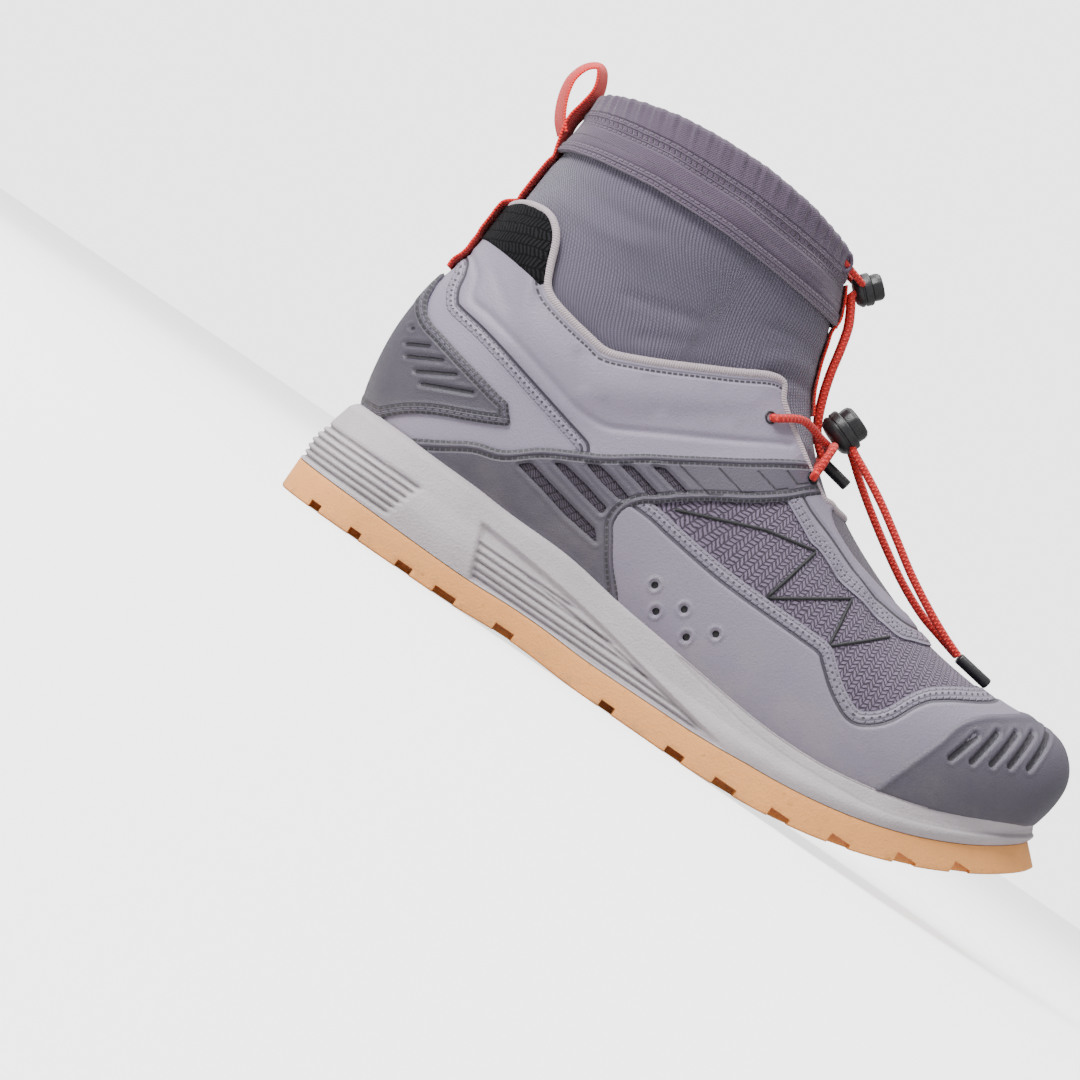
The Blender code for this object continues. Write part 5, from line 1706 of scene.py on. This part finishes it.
def guard_relief(s, h, inside, off):
    total = 0.45 * step_up(4.9, 6.0, off) - 0.35 * trough(off, 4.7, 0.5)
    for drain_s, drain_h in DRAINS:
        total = total + 0.5 * hump(2.3, 1.0, np.hypot(s - drain_s, h - drain_h))
    return total + crease_relief(s, h, inside, off)


def cap_relief(s, h, inside, off):
    return 0.3 * (1 - step_up(1.6, 3.0, off)) + slit_relief(CAP_SLITS, s, h, 1.0, 0.9, 1.5, 0.2, 2.1)


def plate_relief(s, h, inside, off):
    line = trough(Line(PLATE_LINE).near(s, h, 4.0)[0], 0, 0.55)
    return crease_relief(s, h, inside, off) - 0.45 * line


def tab_relief(s, h, inside, off):
    return crease_relief(s, h, inside, off) - 0.1


def threads(material):
    """Dark cords sewn in a zigzag over the forefoot's mesh, on both sides."""
    for name, sign in (("outer", -1), ("inner", 1)):
        path = []
        for (s0, h0), (s1, h1) in zip(ZIGZAG[:-1], ZIGZAG[1:]):
            for t in np.linspace(0, 1, max(int(math.hypot(s1 - s0, h1 - h0)), 2), endpoint=False):
                x, z = place(s0 + (s1 - s0) * t, h0 + (h1 - h0) * t)
                spot, facing = from_side(SHARED["shell_tree"], x, z, sign)
                if spot is not None:
                    path.append(spot + facing * 0.15 * MM)
        obj = tube("boot_threads_" + name, even_path(path, 0.9 * MM, 1), 0.62 * MM, material, 6,
                   relief=lambda run: 0.85 + 0.25 * np.abs(np.sin(run * 1.25)))
        seat(obj, "hard_black")


def build_collar_edge(material):
    obj = tube("boot_piping", SHARED["collar_border"], 1.7 * MM, material, 10, closed=True)
    return seat(obj, "webbing")


# Gaiter and cuff


GAITER_FOLDS = (
    # half width, depth, line
    (3.0, -0.9, ((118, 124), (126, 130), (140, 133))),
    (3.5, 0.7, ((114, 129), (124, 136), (137, 139))),
    (3.0, -0.8, ((108, 140), (120, 144), (134, 146))),
    (4.0, -0.7, ((20, 146), (45, 143), (70, 147))),
    (4.5, 0.6, ((18, 138), (42, 135), (66, 139))),
    (4.0, -0.6, ((58, 120), (76, 124), (96, 130))),
    (4.0, -0.5, ((70, 108), (84, 116), (100, 124))),
)
GAITER_LOW = tuple((a * 3.0, 38.0 + u * 1.48) for a, u in
                   ((-4, 44), (0, 44), (8, 38), (22, 31), (36, 36), (50, 34), (58, 30), (100, 30)))
GAITER_HIGH = ((-10, 166), (200, 166))
HEM = (
    (0, 150), (14, 151.5), (20, 153.5), (30, 155), (50, 157), (80, 157.8), (100, 157.2),
    (120, 156.4), (131, 156), (140, 155.6),
)
TOP = (
    (0, 175), (16, 177.2), (20, 178.6), (30, 181), (45, 183.6), (60, 184.8), (80, 185.4),
    (100, 184.2), (110, 182.6), (117, 181.6), (124, 180.4), (140, 179),
)


def band_object(name, skin, offset, material, wall, off, turn):
    """A whole skin as a band with a wall. off and turn are its distances from a hem and round the leg."""
    maps = {"edge": np.stack([turn, off], axis=2)}
    obj = cut_grid(name, skin, np.ones(skin.s.shape), offset, material, maps)
    thicken(obj, wall, 70)
    return obj


def build_gaiter(material):
    """The knitted sock, drawn in under the cuff's hem."""
    skin = rows_between(Skin(GAITER_STEP), GAITER_LOW, GAITER_HIGH, GAITER_ROWS)
    off = np.interp(skin.s, *np.transpose(HEM)) - skin.h
    offset = hand_placed(GAITER_FOLDS, skin.s, skin.h) - 0.5 * trough(off, 1.0, 3.0)
    obj = band_object("boot_gaiter", skin, offset, material, GAITER_WALL, off, skin.cloth[..., 0])
    return seat(obj, "knit", "gaiter")


def build_cuff(material):
    """The woven cuff: a sewn hem, a plain band, a tunnel for the cord and gathers up to its rolled top."""
    skin = rows_between(Skin(CUFF_STEP, CUFF_SECTION), HEM, TOP, CUFF_ROWS)
    low = skin.h - np.interp(skin.s, *np.transpose(HEM))
    high = np.interp(skin.s, *np.transpose(TOP)) - skin.h
    turn = skin.cloth[..., 0]
    hem = 0.35 * (1 - step_up(3.6, 4.4, low)) - 0.3 * trough(low, 4.1, 0.5)
    tunnel = 0.55 * step_up(13.0, 15.0, low) - 0.35 * trough(low, 14.0, 0.6)
    pleats = 0.55 * np.sin(turn * 1.15 + 1.4 * np.sin(turn * 0.21)) + 0.35 * np.sin(turn * 2.3 + 0.7)
    gather = step_up(12.5, 17.0, low) * (0.35 + 0.65 * step_up(9.0, 1.0, high))
    roll = -1.9 * (1 - np.sqrt(np.clip(1 - (1 - np.clip(high / 2.6, 0, 1)) ** 2, 0, 1)))
    creases = 0.35 * np.sin(turn * 0.19 + 1.0) * step_up(4.0, 8.0, low) * (1 - step_up(12.0, 14.0, low))
    offset = CUFF_OUT / MM + hem + tunnel + pleats * gather * 0.8 + roll + creases
    off = np.where(low < 7, low, 8 + np.minimum(low, np.abs(low - 14.0) + 0.6))
    return seat(band_object("boot_cuff", skin, offset, material, CUFF_WALL, off, turn), "woven", "cuff")


# The cuff's rings: percent of the upper height, and millimetres from the middle
GROMMET_HEIGHT = 93.6
GROMMET_ASIDE = 12.0


def add_ring(name, spot, facing, radius, thick, sides, material):
    """A ring of round section lying flat on a face, its sizes in millimetres."""
    bpy.ops.mesh.primitive_torus_add(
        major_segments=sides[0], minor_segments=sides[1], major_radius=radius * MM, minor_radius=thick * MM,
        location=spot, rotation=facing_turn(facing))
    return settle(name, material)


def build_grommets(material):
    """The two rings in the cuff that the drawcord runs out of."""
    tree = tree_of(bpy.data.objects["boot_cuff"])
    for name, sign in (("outer_grommet", -1), ("inner_grommet", 1)):
        start = Vector((LENGTH, sign * GROMMET_ASIDE * MM, up(GROMMET_HEIGHT)))
        spot, facing = tree.ray_cast(start, Vector((-1, 0, 0)))[:2]
        ring = add_ring("boot_" + name, spot + facing * 0.4 * MM, facing, 2.95, 0.85, (40, 12), material)
        seat(ring, "woven", name)


# Bands, cords and hardware


LOOP_PATH = (
    (12.2, 152), (12, 158), (12.4, 164), (13.4, 170.5), (14.2, 176.5), (13.4, 181), (11, 185.4),
    (8.3, 186.2), (4.8, 183), (3, 177), (4.2, 170), (7.5, 163), (11.5, 158.5),
)
WEBBING_WIDE = 12.0


def laid_on(pieces, heights, way, half, lift):
    """World x and z of a band laid on pieces from behind (-1) or in front (1), at heights."""
    tree = tree_of(*[bpy.data.objects[name] for name in pieces])
    path = []
    for h in heights:
        z = (h + RISE) * MM
        x = way * max(way * hit(tree, (way * LENGTH, y * MM, z), (-way, 0, 0)).x for y in (-half, 0.0, half))
        path.append((x + way * lift * MM, z))
    return path


def build_pull_loop(material):
    """The webbing sewn up the heel and the cuff, with its free loop at the top."""
    pieces = ("boot_shell", "boot_gaiter", "boot_cuff", "boot_heel_tab", "boot_collar_panel")
    path = laid_on(pieces, np.arange(96.0, 150.1, 3.0), -1, 4.5, 0.9)
    sewn = [(x / MM - SOLE_LOW.x / MM, z / MM - RISE) for x, z in path]
    line = smooth_run([*sewn, (sewn[-1][0] - 1.1, 154.5), *LOOP_PATH[2:]], 8)
    points = np.array([place(s, h) for s, h in line])
    turned = np.radians(10.0 + 6.0 * step_up(150.0, 165.0, line[:, 1]))
    obj = ribbon("boot_pull_loop", points, WEBBING_WIDE * MM, 1.5 * MM, material, 0.25 * MM, turned)
    return seat(obj, "webbing", "pull_loop")


def build_front_band(material):
    """The webbing down the front of the cuff and the gaiter."""
    path = laid_on(("boot_gaiter", "boot_cuff"), np.arange(171.0, 124.0, -2.5), 1, 5.0, 0.65)
    smooth = even_path([(x, 0, z) for x, z in path], 1.0 * MM, 1)
    obj = ribbon("boot_front_band", smooth[:, [0, 2]], WEBBING_WIDE * MM, 1.2 * MM, material, 0.2 * MM)
    return seat(obj, "webbing", "front_band")


def route(points, sign=1.0):
    """Places of a cord in metres, on its own side (1) or mirrored (-1)."""
    return [(along(a), sign * y, up(u)) for a, y, u in points]


# Cords: percent of the length along, metres aside, percent of the upper height above the heel rim
LACE_ENDS = {
    "lace_end_outer": (
        (53.6, -0.0036, 58.4), (54.6, -0.0042, 57.2), (57.2, -0.0046, 54.6), (60.4, -0.0048, 51.0),
        (64.0, -0.0046, 46.4), (68.0, -0.0040, 41.2), (72.0, -0.0034, 36.8), (75.4, -0.0024, 33.6),
        (78.2, -0.0018, 31.4),
    ),
    "lace_end_inner": (
        (53.6, 0.0036, 58.2), (54.6, 0.0042, 56.8), (57.0, 0.0048, 53.0), (60.2, 0.0050, 48.4),
        (64.0, 0.0048, 43.4), (68.0, 0.0042, 38.6), (72.0, 0.0036, 34.9), (75.4, 0.0024, 32.9),
        (78.2, 0.0018, 31.4),
    ),
}
LACE_TIP = ((78.45, 31.2), (83.1, 29.8))
DRAW_ENDS = (
    (44.1, 0.0030, 90.3), (43.35, 0.0037, 88.9), (44.2, 0.0048, 86.0), (45.2, 0.0058, 82.0),
    (45.9, 0.0064, 76.8), (46.6, 0.0064, 70.2), (47.5, 0.0060, 64.2), (48.75, 0.0050, 58.4),
    (50.22, 0.0024, 54.45), (51.8, 0.0016, 51.9),
)
DRAW_TIP = ((52.1, 51.6), (55.8, 50.2))
LOWER_LOCK, LOWER_LEAN = (51.7, 60.2), 20
UPPER_LOCK, UPPER_LEAN = (44.3, 91.8), 42
EYELETS = (
    # along, up, how far the lace rises over the flap's edge in millimetres
    (43.3, 52.0, 3.0),
    (51.4, 46.0, 4.2),
)
LACE_MEET = (51.6, 55.4)
LACE_RADIUS = 1.5


def braid_tube(name, points, radius, material):
    """A braided cord along a smooth line through places, and its path."""
    path = even_path(points, 0.8 * MM)
    return tube(name, path, radius, material, relief=lambda run: 1 + 0.03 * np.sin(run * 3.7)), path


def build_cord(name, points, diameter, material):
    """A free cord as a braided tube."""
    obj, path = braid_tube("boot_" + name, smooth_run(points, 16), diameter / 2, material)
    seat(obj, "cord", name)


def build_draw_top(diameter, material):
    """The short lengths of drawcord between the cuff's rings and the upper lock, as one piece."""
    tree = tree_of(bpy.data.objects["boot_cuff"])
    lock_x, lock_z = along(UPPER_LOCK[0]), up(UPPER_LOCK[1])
    outer, inner = [], []
    for side, sign in ((outer, -1), (inner, 1)):
        ring = hit(tree, (LENGTH, sign * GROMMET_ASIDE * MM, up(GROMMET_HEIGHT)), (-1, 0, 0))
        side += [(ring.x - 1.0 * MM, ring.y, ring.z),
                 (ring.x + 1.6 * MM, sign * 9.8 * MM, ring.z - 0.3 * MM),
                 (lock_x - 2.0 * MM, sign * 5.0 * MM, lock_z + 0.6 * MM)]
    points = [*outer, (lock_x - 1.0 * MM, 0.0, lock_z), *inner[::-1]]
    return seat(braid_tube("boot_drawcord_top", smooth_run(points, 12), diameter / 2, material)[0], "cord")


def build_tip(name, places, wide, high, material):
    """A hard cord end: an oval cylinder set along its line, bevelled at both ends."""
    start, end = (Vector((along(a), 0, up(u))) for a, u in places)
    axis = end - start
    bpy.ops.mesh.primitive_cylinder_add(
        vertices=32, radius=0.5, depth=axis.length, location=(start + end) / 2, rotation=facing_turn(axis))
    obj = bpy.context.object
    across = obj.rotation_euler.to_matrix() @ Vector((1, 0, 0))
    obj.scale = (wide, high, 1.0) if abs(across.y) > 0.5 else (high, wide, 1.0)
    settle("boot_" + name, material)
    bevel(obj, 0.5, 3)
    obj.data.shade_smooth()
    return seat(obj, "hard_black", name)


LOCK_SIDES = 56


def build_lock(name, spot, lean, wide, high, button, material):
    """A cord lock: an oval barrel with a waist and a groove, and a round push button with a dished end."""
    centre = np.array((along(spot[0]), 0, up(spot[1])))
    lean = math.radians(lean)
    spin = np.array([[math.cos(lean), 0, math.sin(lean)], [0, 1, 0], [-math.sin(lean), 0, math.cos(lean)]])
    low, top, r = -high * 0.62, high * 0.38, wide / 2
    profiles = {
        "body": ((low, 0.0), (low, r * 0.62), (low + 0.3 * MM, r * 0.76), (low + 1.0 * MM, r * 0.86),
                 (low + high * 0.3, r * 0.97), (low + high * 0.42, r * 0.98), (low + high * 0.46, r * 0.93),
                 (low + high * 0.54, r * 0.93), (low + high * 0.58, r * 0.99), (top - 0.9 * MM, r * 1.0),
                 (top - 0.3 * MM, r * 0.97), (top, r * 0.90), (top, 0.0)),
        "button": ((top + GAP, 0.0), (top + GAP, r * 0.80), (top + button * 0.55, r * 0.82),
                   (top + button * 0.82, r * 0.78), (top + button, r * 0.66), (top + button, r * 0.52),
                   (top + button - 0.5 * MM, r * 0.46), (top + button - 0.6 * MM, 0.0)),
    }
    turn = np.linspace(0, 2 * math.pi, LOCK_SIDES, endpoint=False)
    for part, profile in profiles.items():
        oval = 1.03 if part == "body" else 1.0
        ridges = 1 + (0.012 * np.cos(turn * 14) if part == "button" else 0 * turn)
        rings = [np.stack([radius * np.cos(turn) * ridges, radius * oval * np.sin(turn) * ridges,
                           np.full(LOCK_SIDES, rise)], axis=1) for rise, radius in profile[1:-1]]
        points = np.concatenate(rings) @ spin.T + centre
        obj = mesh_object(f"boot_{name}_{part}", points, capped_faces(len(rings), LOCK_SIDES), material)
        square_up(obj, 50)
        seat(obj, "hard_black", f"{name}_{part}")


def lace_side(tree, x, z, sign, rise):
    """A lace from its eyelet over the flap to the middle of the throat."""
    at = from_side(tree, x, z, sign)[0]
    meet_x, meet_z = along(LACE_MEET[0]), up(LACE_MEET[1])
    long, high = meet_x - x, meet_z - z
    half = THROAT_HALF * MM
    return [
        (x, at.y - sign * 1.2 * MM, z),
        (x + 0.1 * long, at.y + sign * 1.04 * MM, z + 0.14 * high + 0.6 * MM),
        (x + 0.42 * long, sign * (half + 2 * MM), z + 0.62 * high + rise),
        (x + 0.80 * long, sign * half * 0.52, z + 0.92 * high + rise * 0.2),
        (meet_x, 0.0, meet_z),
    ]


def build_crossing(material, dark):
    """The lace between its eyelets and the lock, with an eyelet ring round each hole."""
    pieces = ("boot_collar_panel", "boot_outer_cage", "boot_inner_cage")
    tree = tree_of(*[bpy.data.objects[name] for name in pieces])
    bars = []
    for number, (a, u, rise) in enumerate(EYELETS):
        x, z = along(a), up(u)
        outer, inner = (lace_side(tree, x, z, sign, rise * MM) for sign in (-1, 1))
        points = smooth_run(outer + inner[:-1][::-1], 16)
        bars.append(braid_tube(f"bar_{number}", points, LACE_RADIUS * MM, material)[0])
        for side, sign in (("outer", -1), ("inner", 1)):
            spot, facing = from_side(tree, x, z, sign)
            spot = spot + facing * 0.1 * MM
            ring = add_ring(f"boot_eyelet_{number}_{side}", spot, facing, 2.0, 0.4, (36, 10), dark)
            seat(ring, "hard_black")
    crossing = join_up(bars)
    crossing.name = "boot_lace_crossing"
    return seat(crossing, "cord", "lace_crossing")


# Settings


def colour_setting(name, description, default):
    return FloatVectorProperty(name=name, description=description, subtype="COLOR", size=3, min=0, max=1,
                               default=default)


def size_setting(name, description, default):
    return FloatProperty(name=name, description=description, default=default, min=0, unit="LENGTH",
                         subtype="DISTANCE", precision=4)


class BootColours(bpy.types.PropertyGroup):
    """Colours of the boot's materials."""

    panel: colour_setting("Panels", "Smooth light panels", (0.214, 0.186, 0.248))
    moulded: colour_setting("Moulded film", "Cap, counter and side cage", (0.061, 0.0525, 0.073))
    mesh: colour_setting("Mesh", "Open cloth of the forefoot", (0.086, 0.064, 0.100))
    knit: colour_setting("Knit", "Gaiter", (0.132, 0.113, 0.165))
    cuff: colour_setting("Cuff", "Woven band at the top", (0.098, 0.066, 0.110))
    foam: colour_setting("Foam", "Midsole", (0.46, 0.415, 0.445))
    gum: colour_setting("Gum rubber", "Outsole", (0.87, 0.37, 0.105))
    recess: colour_setting("Recesses", "Rubber between the lugs", (0.82, 0.33, 0.15))
    cord: colour_setting("Cords", "Laces and webbing", (0.93, 0.010, 0.002))
    piping: colour_setting("Piping", "Edge of the collar", (0.50, 0.41, 0.45))
    black: colour_setting("Hardware", "Locks, tips and heel tab", (0.012, 0.012, 0.014))


class BootSizes(bpy.types.PropertyGroup):
    """Sizes of the boot's layers."""

    cap: size_setting("Toe cap", "Thickness of the toe cap", 2.0 * MM)
    counter: size_setting("Heel counter", "Thickness of the heel counter", 1.6 * MM)
    cage: size_setting("Side cage", "Thickness of the side cage", 1.4 * MM)
    guard: size_setting("Toe guard", "Thickness of the guard round the forefoot", 1.0 * MM)
    plate: size_setting("Instep plate", "Thickness of the plate over the instep", 1.2 * MM)
    lace: size_setting("Lace", "Diameter of the lace", 3.0 * MM)
    drawcord: size_setting("Drawcord", "Diameter of the gaiter's cord", 2.6 * MM)


class BootSole(bpy.types.Operator):
    """Build the midsole, the outsole and the footbed's material"""

    bl_idname = "boot.sole"
    bl_label = "Build the Sole"

    def execute(self, context):
        colours = context.scene.boot_colours
        build_midsole(foam_block("midsole foam", colours.foam))
        build_outsole(gum("gum rubber", colours.gum, colours.recess))
        insole = bpy.data.objects["insole"]
        insole.data.materials.clear()
        insole.data.materials.append(lining("footbed cloth", colours.mesh))
        return {"FINISHED"}


class BootUpper(bpy.types.Operator):
    """Build the upper's wall with its collar, heel tab and threads"""

    bl_idname = "boot.upper"
    bl_label = "Build the Upper"

    def execute(self, context):
        colours = context.scene.boot_colours
        prepare_skins()
        build_base(mesh_cloth("forefoot mesh", colours.mesh, rgb(colours.mesh, 2.0), 1.75, 0.0005))
        # black for the threads, and painted shade in the drain holes
        thread_and_drain_shade = hard_plastic("dark thread", colours.black, 0.6)
        threads(thread_and_drain_shade)
        build_drain_shade(thread_and_drain_shade)
        # painted light: the rear and collar panels take a lighter copy of the panel colour than the
        # forefoot's
        light, dark = rgb(colours.panel, 1.12), colours.moulded
        cloth = light_panel("rear panel", light, dark)
        overlay("boot_quarter", joined(*QUARTER), 0.35, cloth, "coated_light", relief=crease_relief)
        cloth = light_panel("collar panel", light, dark, (1, 3.8), (2.4, 2.2, 0.42), 4.6, ("dashed", 2.9))
        overlay("boot_collar_panel", joined(*COLLAR), 0.8, cloth, "coated_light",
                edge=Line(drawn(COLLAR_SEAM)), relief=collar_relief, mark=Line(TOPLINE))
        black = colours.black
        cloth = mesh_cloth("heel tab mesh", rgb(black, 0.4), rgb(black, 1.1), 1.5, 0.0003, 0.0, 0.12)
        overlay("boot_heel_tab", joined(*HEEL_TAB), 1.75, cloth, "coated_fabric", relief=tab_relief)
        build_collar_edge(light_piping("collar piping", colours.piping))
        return {"FINISHED"}


class BootOverlays(bpy.types.Operator):
    """Build the heel counter, side cages, toe guard, toe cap and instep plate"""

    bl_idname = "boot.overlays"
    bl_label = "Build the Overlays"

    def execute(self, context):
        colours, sizes = context.scene.boot_colours, context.scene.boot_sizes
        # painted shade: the guard and the instep plate take a darker copy of the panel colour than the rear
        # panels
        light, dark, mesh = rgb(colours.panel, 0.86), colours.moulded, colours.mesh
        inlay = Line(INLAY, closed=True)
        cloth = light_panel("toe guard", light, dark, (1, 3.8), (2.4, 2.4, 0.42), 4.7)
        overlay("boot_toe_guard", joined(*GUARD), sizes.guard / MM, cloth, "coated_light", ["toe_guard"],
                edge=Line(drawn(GUARD_EDGE)), holes=[*drain_outlines(), inlay], relief=guard_relief)
        cloth = mesh_cloth("fine dark mesh", rgb(mesh, 0.35), rgb(mesh, 0.85), 0.85, 0.0003)
        overlay("boot_cage_inlay", inlay, 0.3, cloth, "coated_fabric")
        cloth = mesh_cloth("window cloth", rgb(mesh, 0.62), rgb(mesh, 0.9), 0.8, 0.0001)
        overlay("boot_window_cloth", Line(WINDOW_CLOTH, closed=True), 0.3, cloth, "coated_fabric")
        cloth = light_panel("instep plate", light, dark, (1, 3), (2.0, 2.4, 0.35), None, ("solid", 0.0))
        overlay("boot_vamp_plate", joined(*PLATE), sizes.plate / MM, cloth, "coated_light", ["vamp_plate"],
                edge=Line(drawn(PLATE_EDGE)), holes=[joined(*WINDOW)], relief=plate_relief,
                mark=Line(PLATE_LINE))
        film = moulded("cap film", rgb(dark, 1.2), (), 0.5, (), 0.7)
        overlay("boot_toe_cap", joined(*CAP), sizes.cap / MM, film, "moulded_grey", ["toe_cap"],
                edge=Line(drawn(CAP_REAR)), relief=cap_relief, mark=Lines(*CAP_SLITS))
        film = moulded("counter film", dark, (1.6,), 0.5, (0.5, 3), 0.35)
        overlay("boot_heel_counter", joined(*COUNTER), sizes.counter / MM, film, "moulded_grey",
                ["heel_counter"], relief=counter_relief, mark=Lines(*COUNTER_SLITS))
        film = moulded("cage film", rgb(dark, 1.15), (), 0.4, (0.5, 2.9), 0.12)
        holes = [Line(smooth_loop(slot), closed=True) for slot in SLOTS]
        cage = joined(*CAGE)
        for name, side in (("outer_cage", -1), ("inner_cage", 1)):
            overlay("boot_" + name, cage, sizes.cage / MM, film, "moulded_grey", [name], edge=cage,
                    holes=holes, side=side, relief=cage_relief, mark=CAGE_MARKS)
        return {"FINISHED"}


class BootGaiter(bpy.types.Operator):
    """Build the gaiter, its cuff and the cuff's rings"""

    bl_idname = "boot.gaiter"
    bl_label = "Build the Gaiter"

    def execute(self, context):
        colours = context.scene.boot_colours
        build_gaiter(ribbed_knit("ribbed knit", colours.knit))
        build_cuff(woven_cloth("cuff cloth", colours.cuff, (1.0, 3.1, 8.9, 10.8)))
        build_grommets(hard_plastic("ring", colours.cuff, 0.5))
        return {"FINISHED"}


class BootCords(bpy.types.Operator):
    """Build the webbing, the laces, the drawcord and their locks and tips"""

    bl_idname = "boot.cords"
    bl_label = "Build the Cords"

    def execute(self, context):
        colours, sizes = context.scene.boot_colours, context.scene.boot_sizes
        webbing = ribbon_cloth("webbing", colours.cord)
        build_pull_loop(webbing)
        build_front_band(webbing)
        braid = braided_cord("braid", colours.cord)
        hard = hard_plastic("hard plastic", colours.black)
        build_crossing(braid, hard)
        lace_tip = build_tip("lace_tip", LACE_TIP, 6.9 * MM, 4.2 * MM, hard)
        cord_tip = build_tip("drawcord_tip", DRAW_TIP, 6.0 * MM, 4.2 * MM, hard)
        for name, points in LACE_ENDS.items():
            build_cord(name, route(points), sizes.lace, braid)
        for name, sign in (("drawcord_outer", -1), ("drawcord_inner", 1)):
            build_cord(name, route(DRAW_ENDS, sign), sizes.drawcord, braid)
        build_draw_top(sizes.drawcord, braid)
        build_lock("lower_lock", LOWER_LOCK, LOWER_LEAN, 16 * MM, 7.5 * MM, 4.8 * MM, hard)
        build_lock("upper_lock", UPPER_LOCK, UPPER_LEAN, 12 * MM, 6.4 * MM, 4.1 * MM, hard)
        return {"FINISHED"}


# The stage: WORLD_LIGHT lights the boot, WORLD_SEEN is what the camera sees of the world
WORLD_LIGHT = 0.6
WORLD_SEEN = 3.2
FLOOR_GLOW = 1.9
FLOOR_SIZE = 12.0
LIT_SPOT = Vector((0.05, 0.0, 0.08))
LIGHTS = (
    # name, place, size, power in watts
    ("key", (-1.3, -1.05, 1.5), 0.9, 82.0),
    ("fill", (1.3, -1.2, 0.7), 1.2, 4.0),
    ("top", (-0.3, 0.2, 1.8), 1.4, 42.0),
    ("back", (-0.9, 1.2, 0.9), 1.0, 8.0),
)
CAMERA_PLACE = (87.6, 34)
CAMERA_AWAY = 1.081
CAMERA_LENS = 100.4
CAMERA_SENSOR = 36.0
CAMERA_AXES = ((0.824, 0.0, 0.566), (-0.566, 0.0, 0.824), (0.0, -1.0, 0.0))


def grey(value):
    return (value, value, value, 1.0)


class BootStage(bpy.types.Operator):
    """Set the floor, the lights and the camera"""

    bl_idname = "boot.stage"
    bl_label = "Set the Stage"

    def execute(self, context):
        bpy.ops.mesh.primitive_plane_add(size=FLOOR_SIZE, location=(0, 0, 0))
        floor = bpy.context.object
        floor.name = "floor"
        s = Surface("floor")
        seen = s.node("ShaderNodeLightPath").outputs["Is Camera Ray"]
        s.fill(s.shader, {
            "Base Color": s.mix(seen, grey(0.45), grey(0.85)), "Roughness": 0.6,
            "Emission Color": s.mix(seen, grey(0.0), grey(1.0)), "Emission Strength": FLOOR_GLOW,
        })
        floor.data.materials.append(s.material)
        world = context.scene.world or bpy.data.worlds.new("studio")
        context.scene.world = world
        world.use_nodes = True
        sky = Nodes(world.node_tree)
        back = sky.tree.nodes["Background"]
        seen = sky.node("ShaderNodeLightPath").outputs["Is Camera Ray"]
        sockets = {"Value": seen, "To Min": WORLD_LIGHT, "To Max": WORLD_SEEN}
        strength = sky.node("ShaderNodeMapRange", None, sockets)
        sky.fill(back, {"Color": grey(1.0), "Strength": WORLD_LIGHT})
        sky.fill(back, {"Strength": strength.outputs["Result"]})
        for name, spot, size, power in LIGHTS:
            bpy.ops.object.light_add(type="AREA", location=spot)
            light = bpy.context.object
            light.name = name
            light.data.size = size
            light.data.energy = power
            light.rotation_euler = (LIT_SPOT - Vector(spot)).to_track_quat("-Z", "Y").to_euler()
        x, z = place(*CAMERA_PLACE)
        bpy.ops.object.camera_add(location=(x, -CAMERA_AWAY, z))
        camera = bpy.context.object
        camera.name = "camera"
        camera.data.lens = CAMERA_LENS
        camera.data.sensor_width = CAMERA_SENSOR
        camera.rotation_euler = Matrix(CAMERA_AXES).transposed().to_euler()
        context.scene.camera = camera
        return {"FINISHED"}


class BootPanel(bpy.types.Panel):
    """Buttons and settings for the boot"""

    bl_label = "Trail Boot"
    bl_idname = "VIEW3D_PT_trail_boot"
    bl_space_type = "VIEW_3D"
    bl_region_type = "UI"
    bl_category = "Boot"

    def draw(self, context):
        for operator in OPERATORS:
            self.layout.operator(operator.bl_idname)
        for settings in (context.scene.boot_sizes, context.scene.boot_colours):
            for key in settings.__annotations__:
                self.layout.prop(settings, key)


OPERATORS = (BootSole, BootUpper, BootOverlays, BootGaiter, BootCords, BootStage)
CLASSES = (BootColours, BootSizes, *OPERATORS, BootPanel)


def register():
    for made in CLASSES:
        bpy.utils.register_class(made)
    bpy.types.Scene.boot_colours = PointerProperty(type=BootColours)
    bpy.types.Scene.boot_sizes = PointerProperty(type=BootSizes)


def unregister():
    del bpy.types.Scene.boot_sizes
    del bpy.types.Scene.boot_colours
    for made in reversed(CLASSES):
        bpy.utils.unregister_class(made)


def main():
    register()
    bpy.ops.boot.sole()
    bpy.ops.boot.upper()
    bpy.ops.boot.overlays()
    bpy.ops.boot.gaiter()
    bpy.ops.boot.cords()
    bpy.ops.boot.stage()


if __name__ == "__main__":
    main()
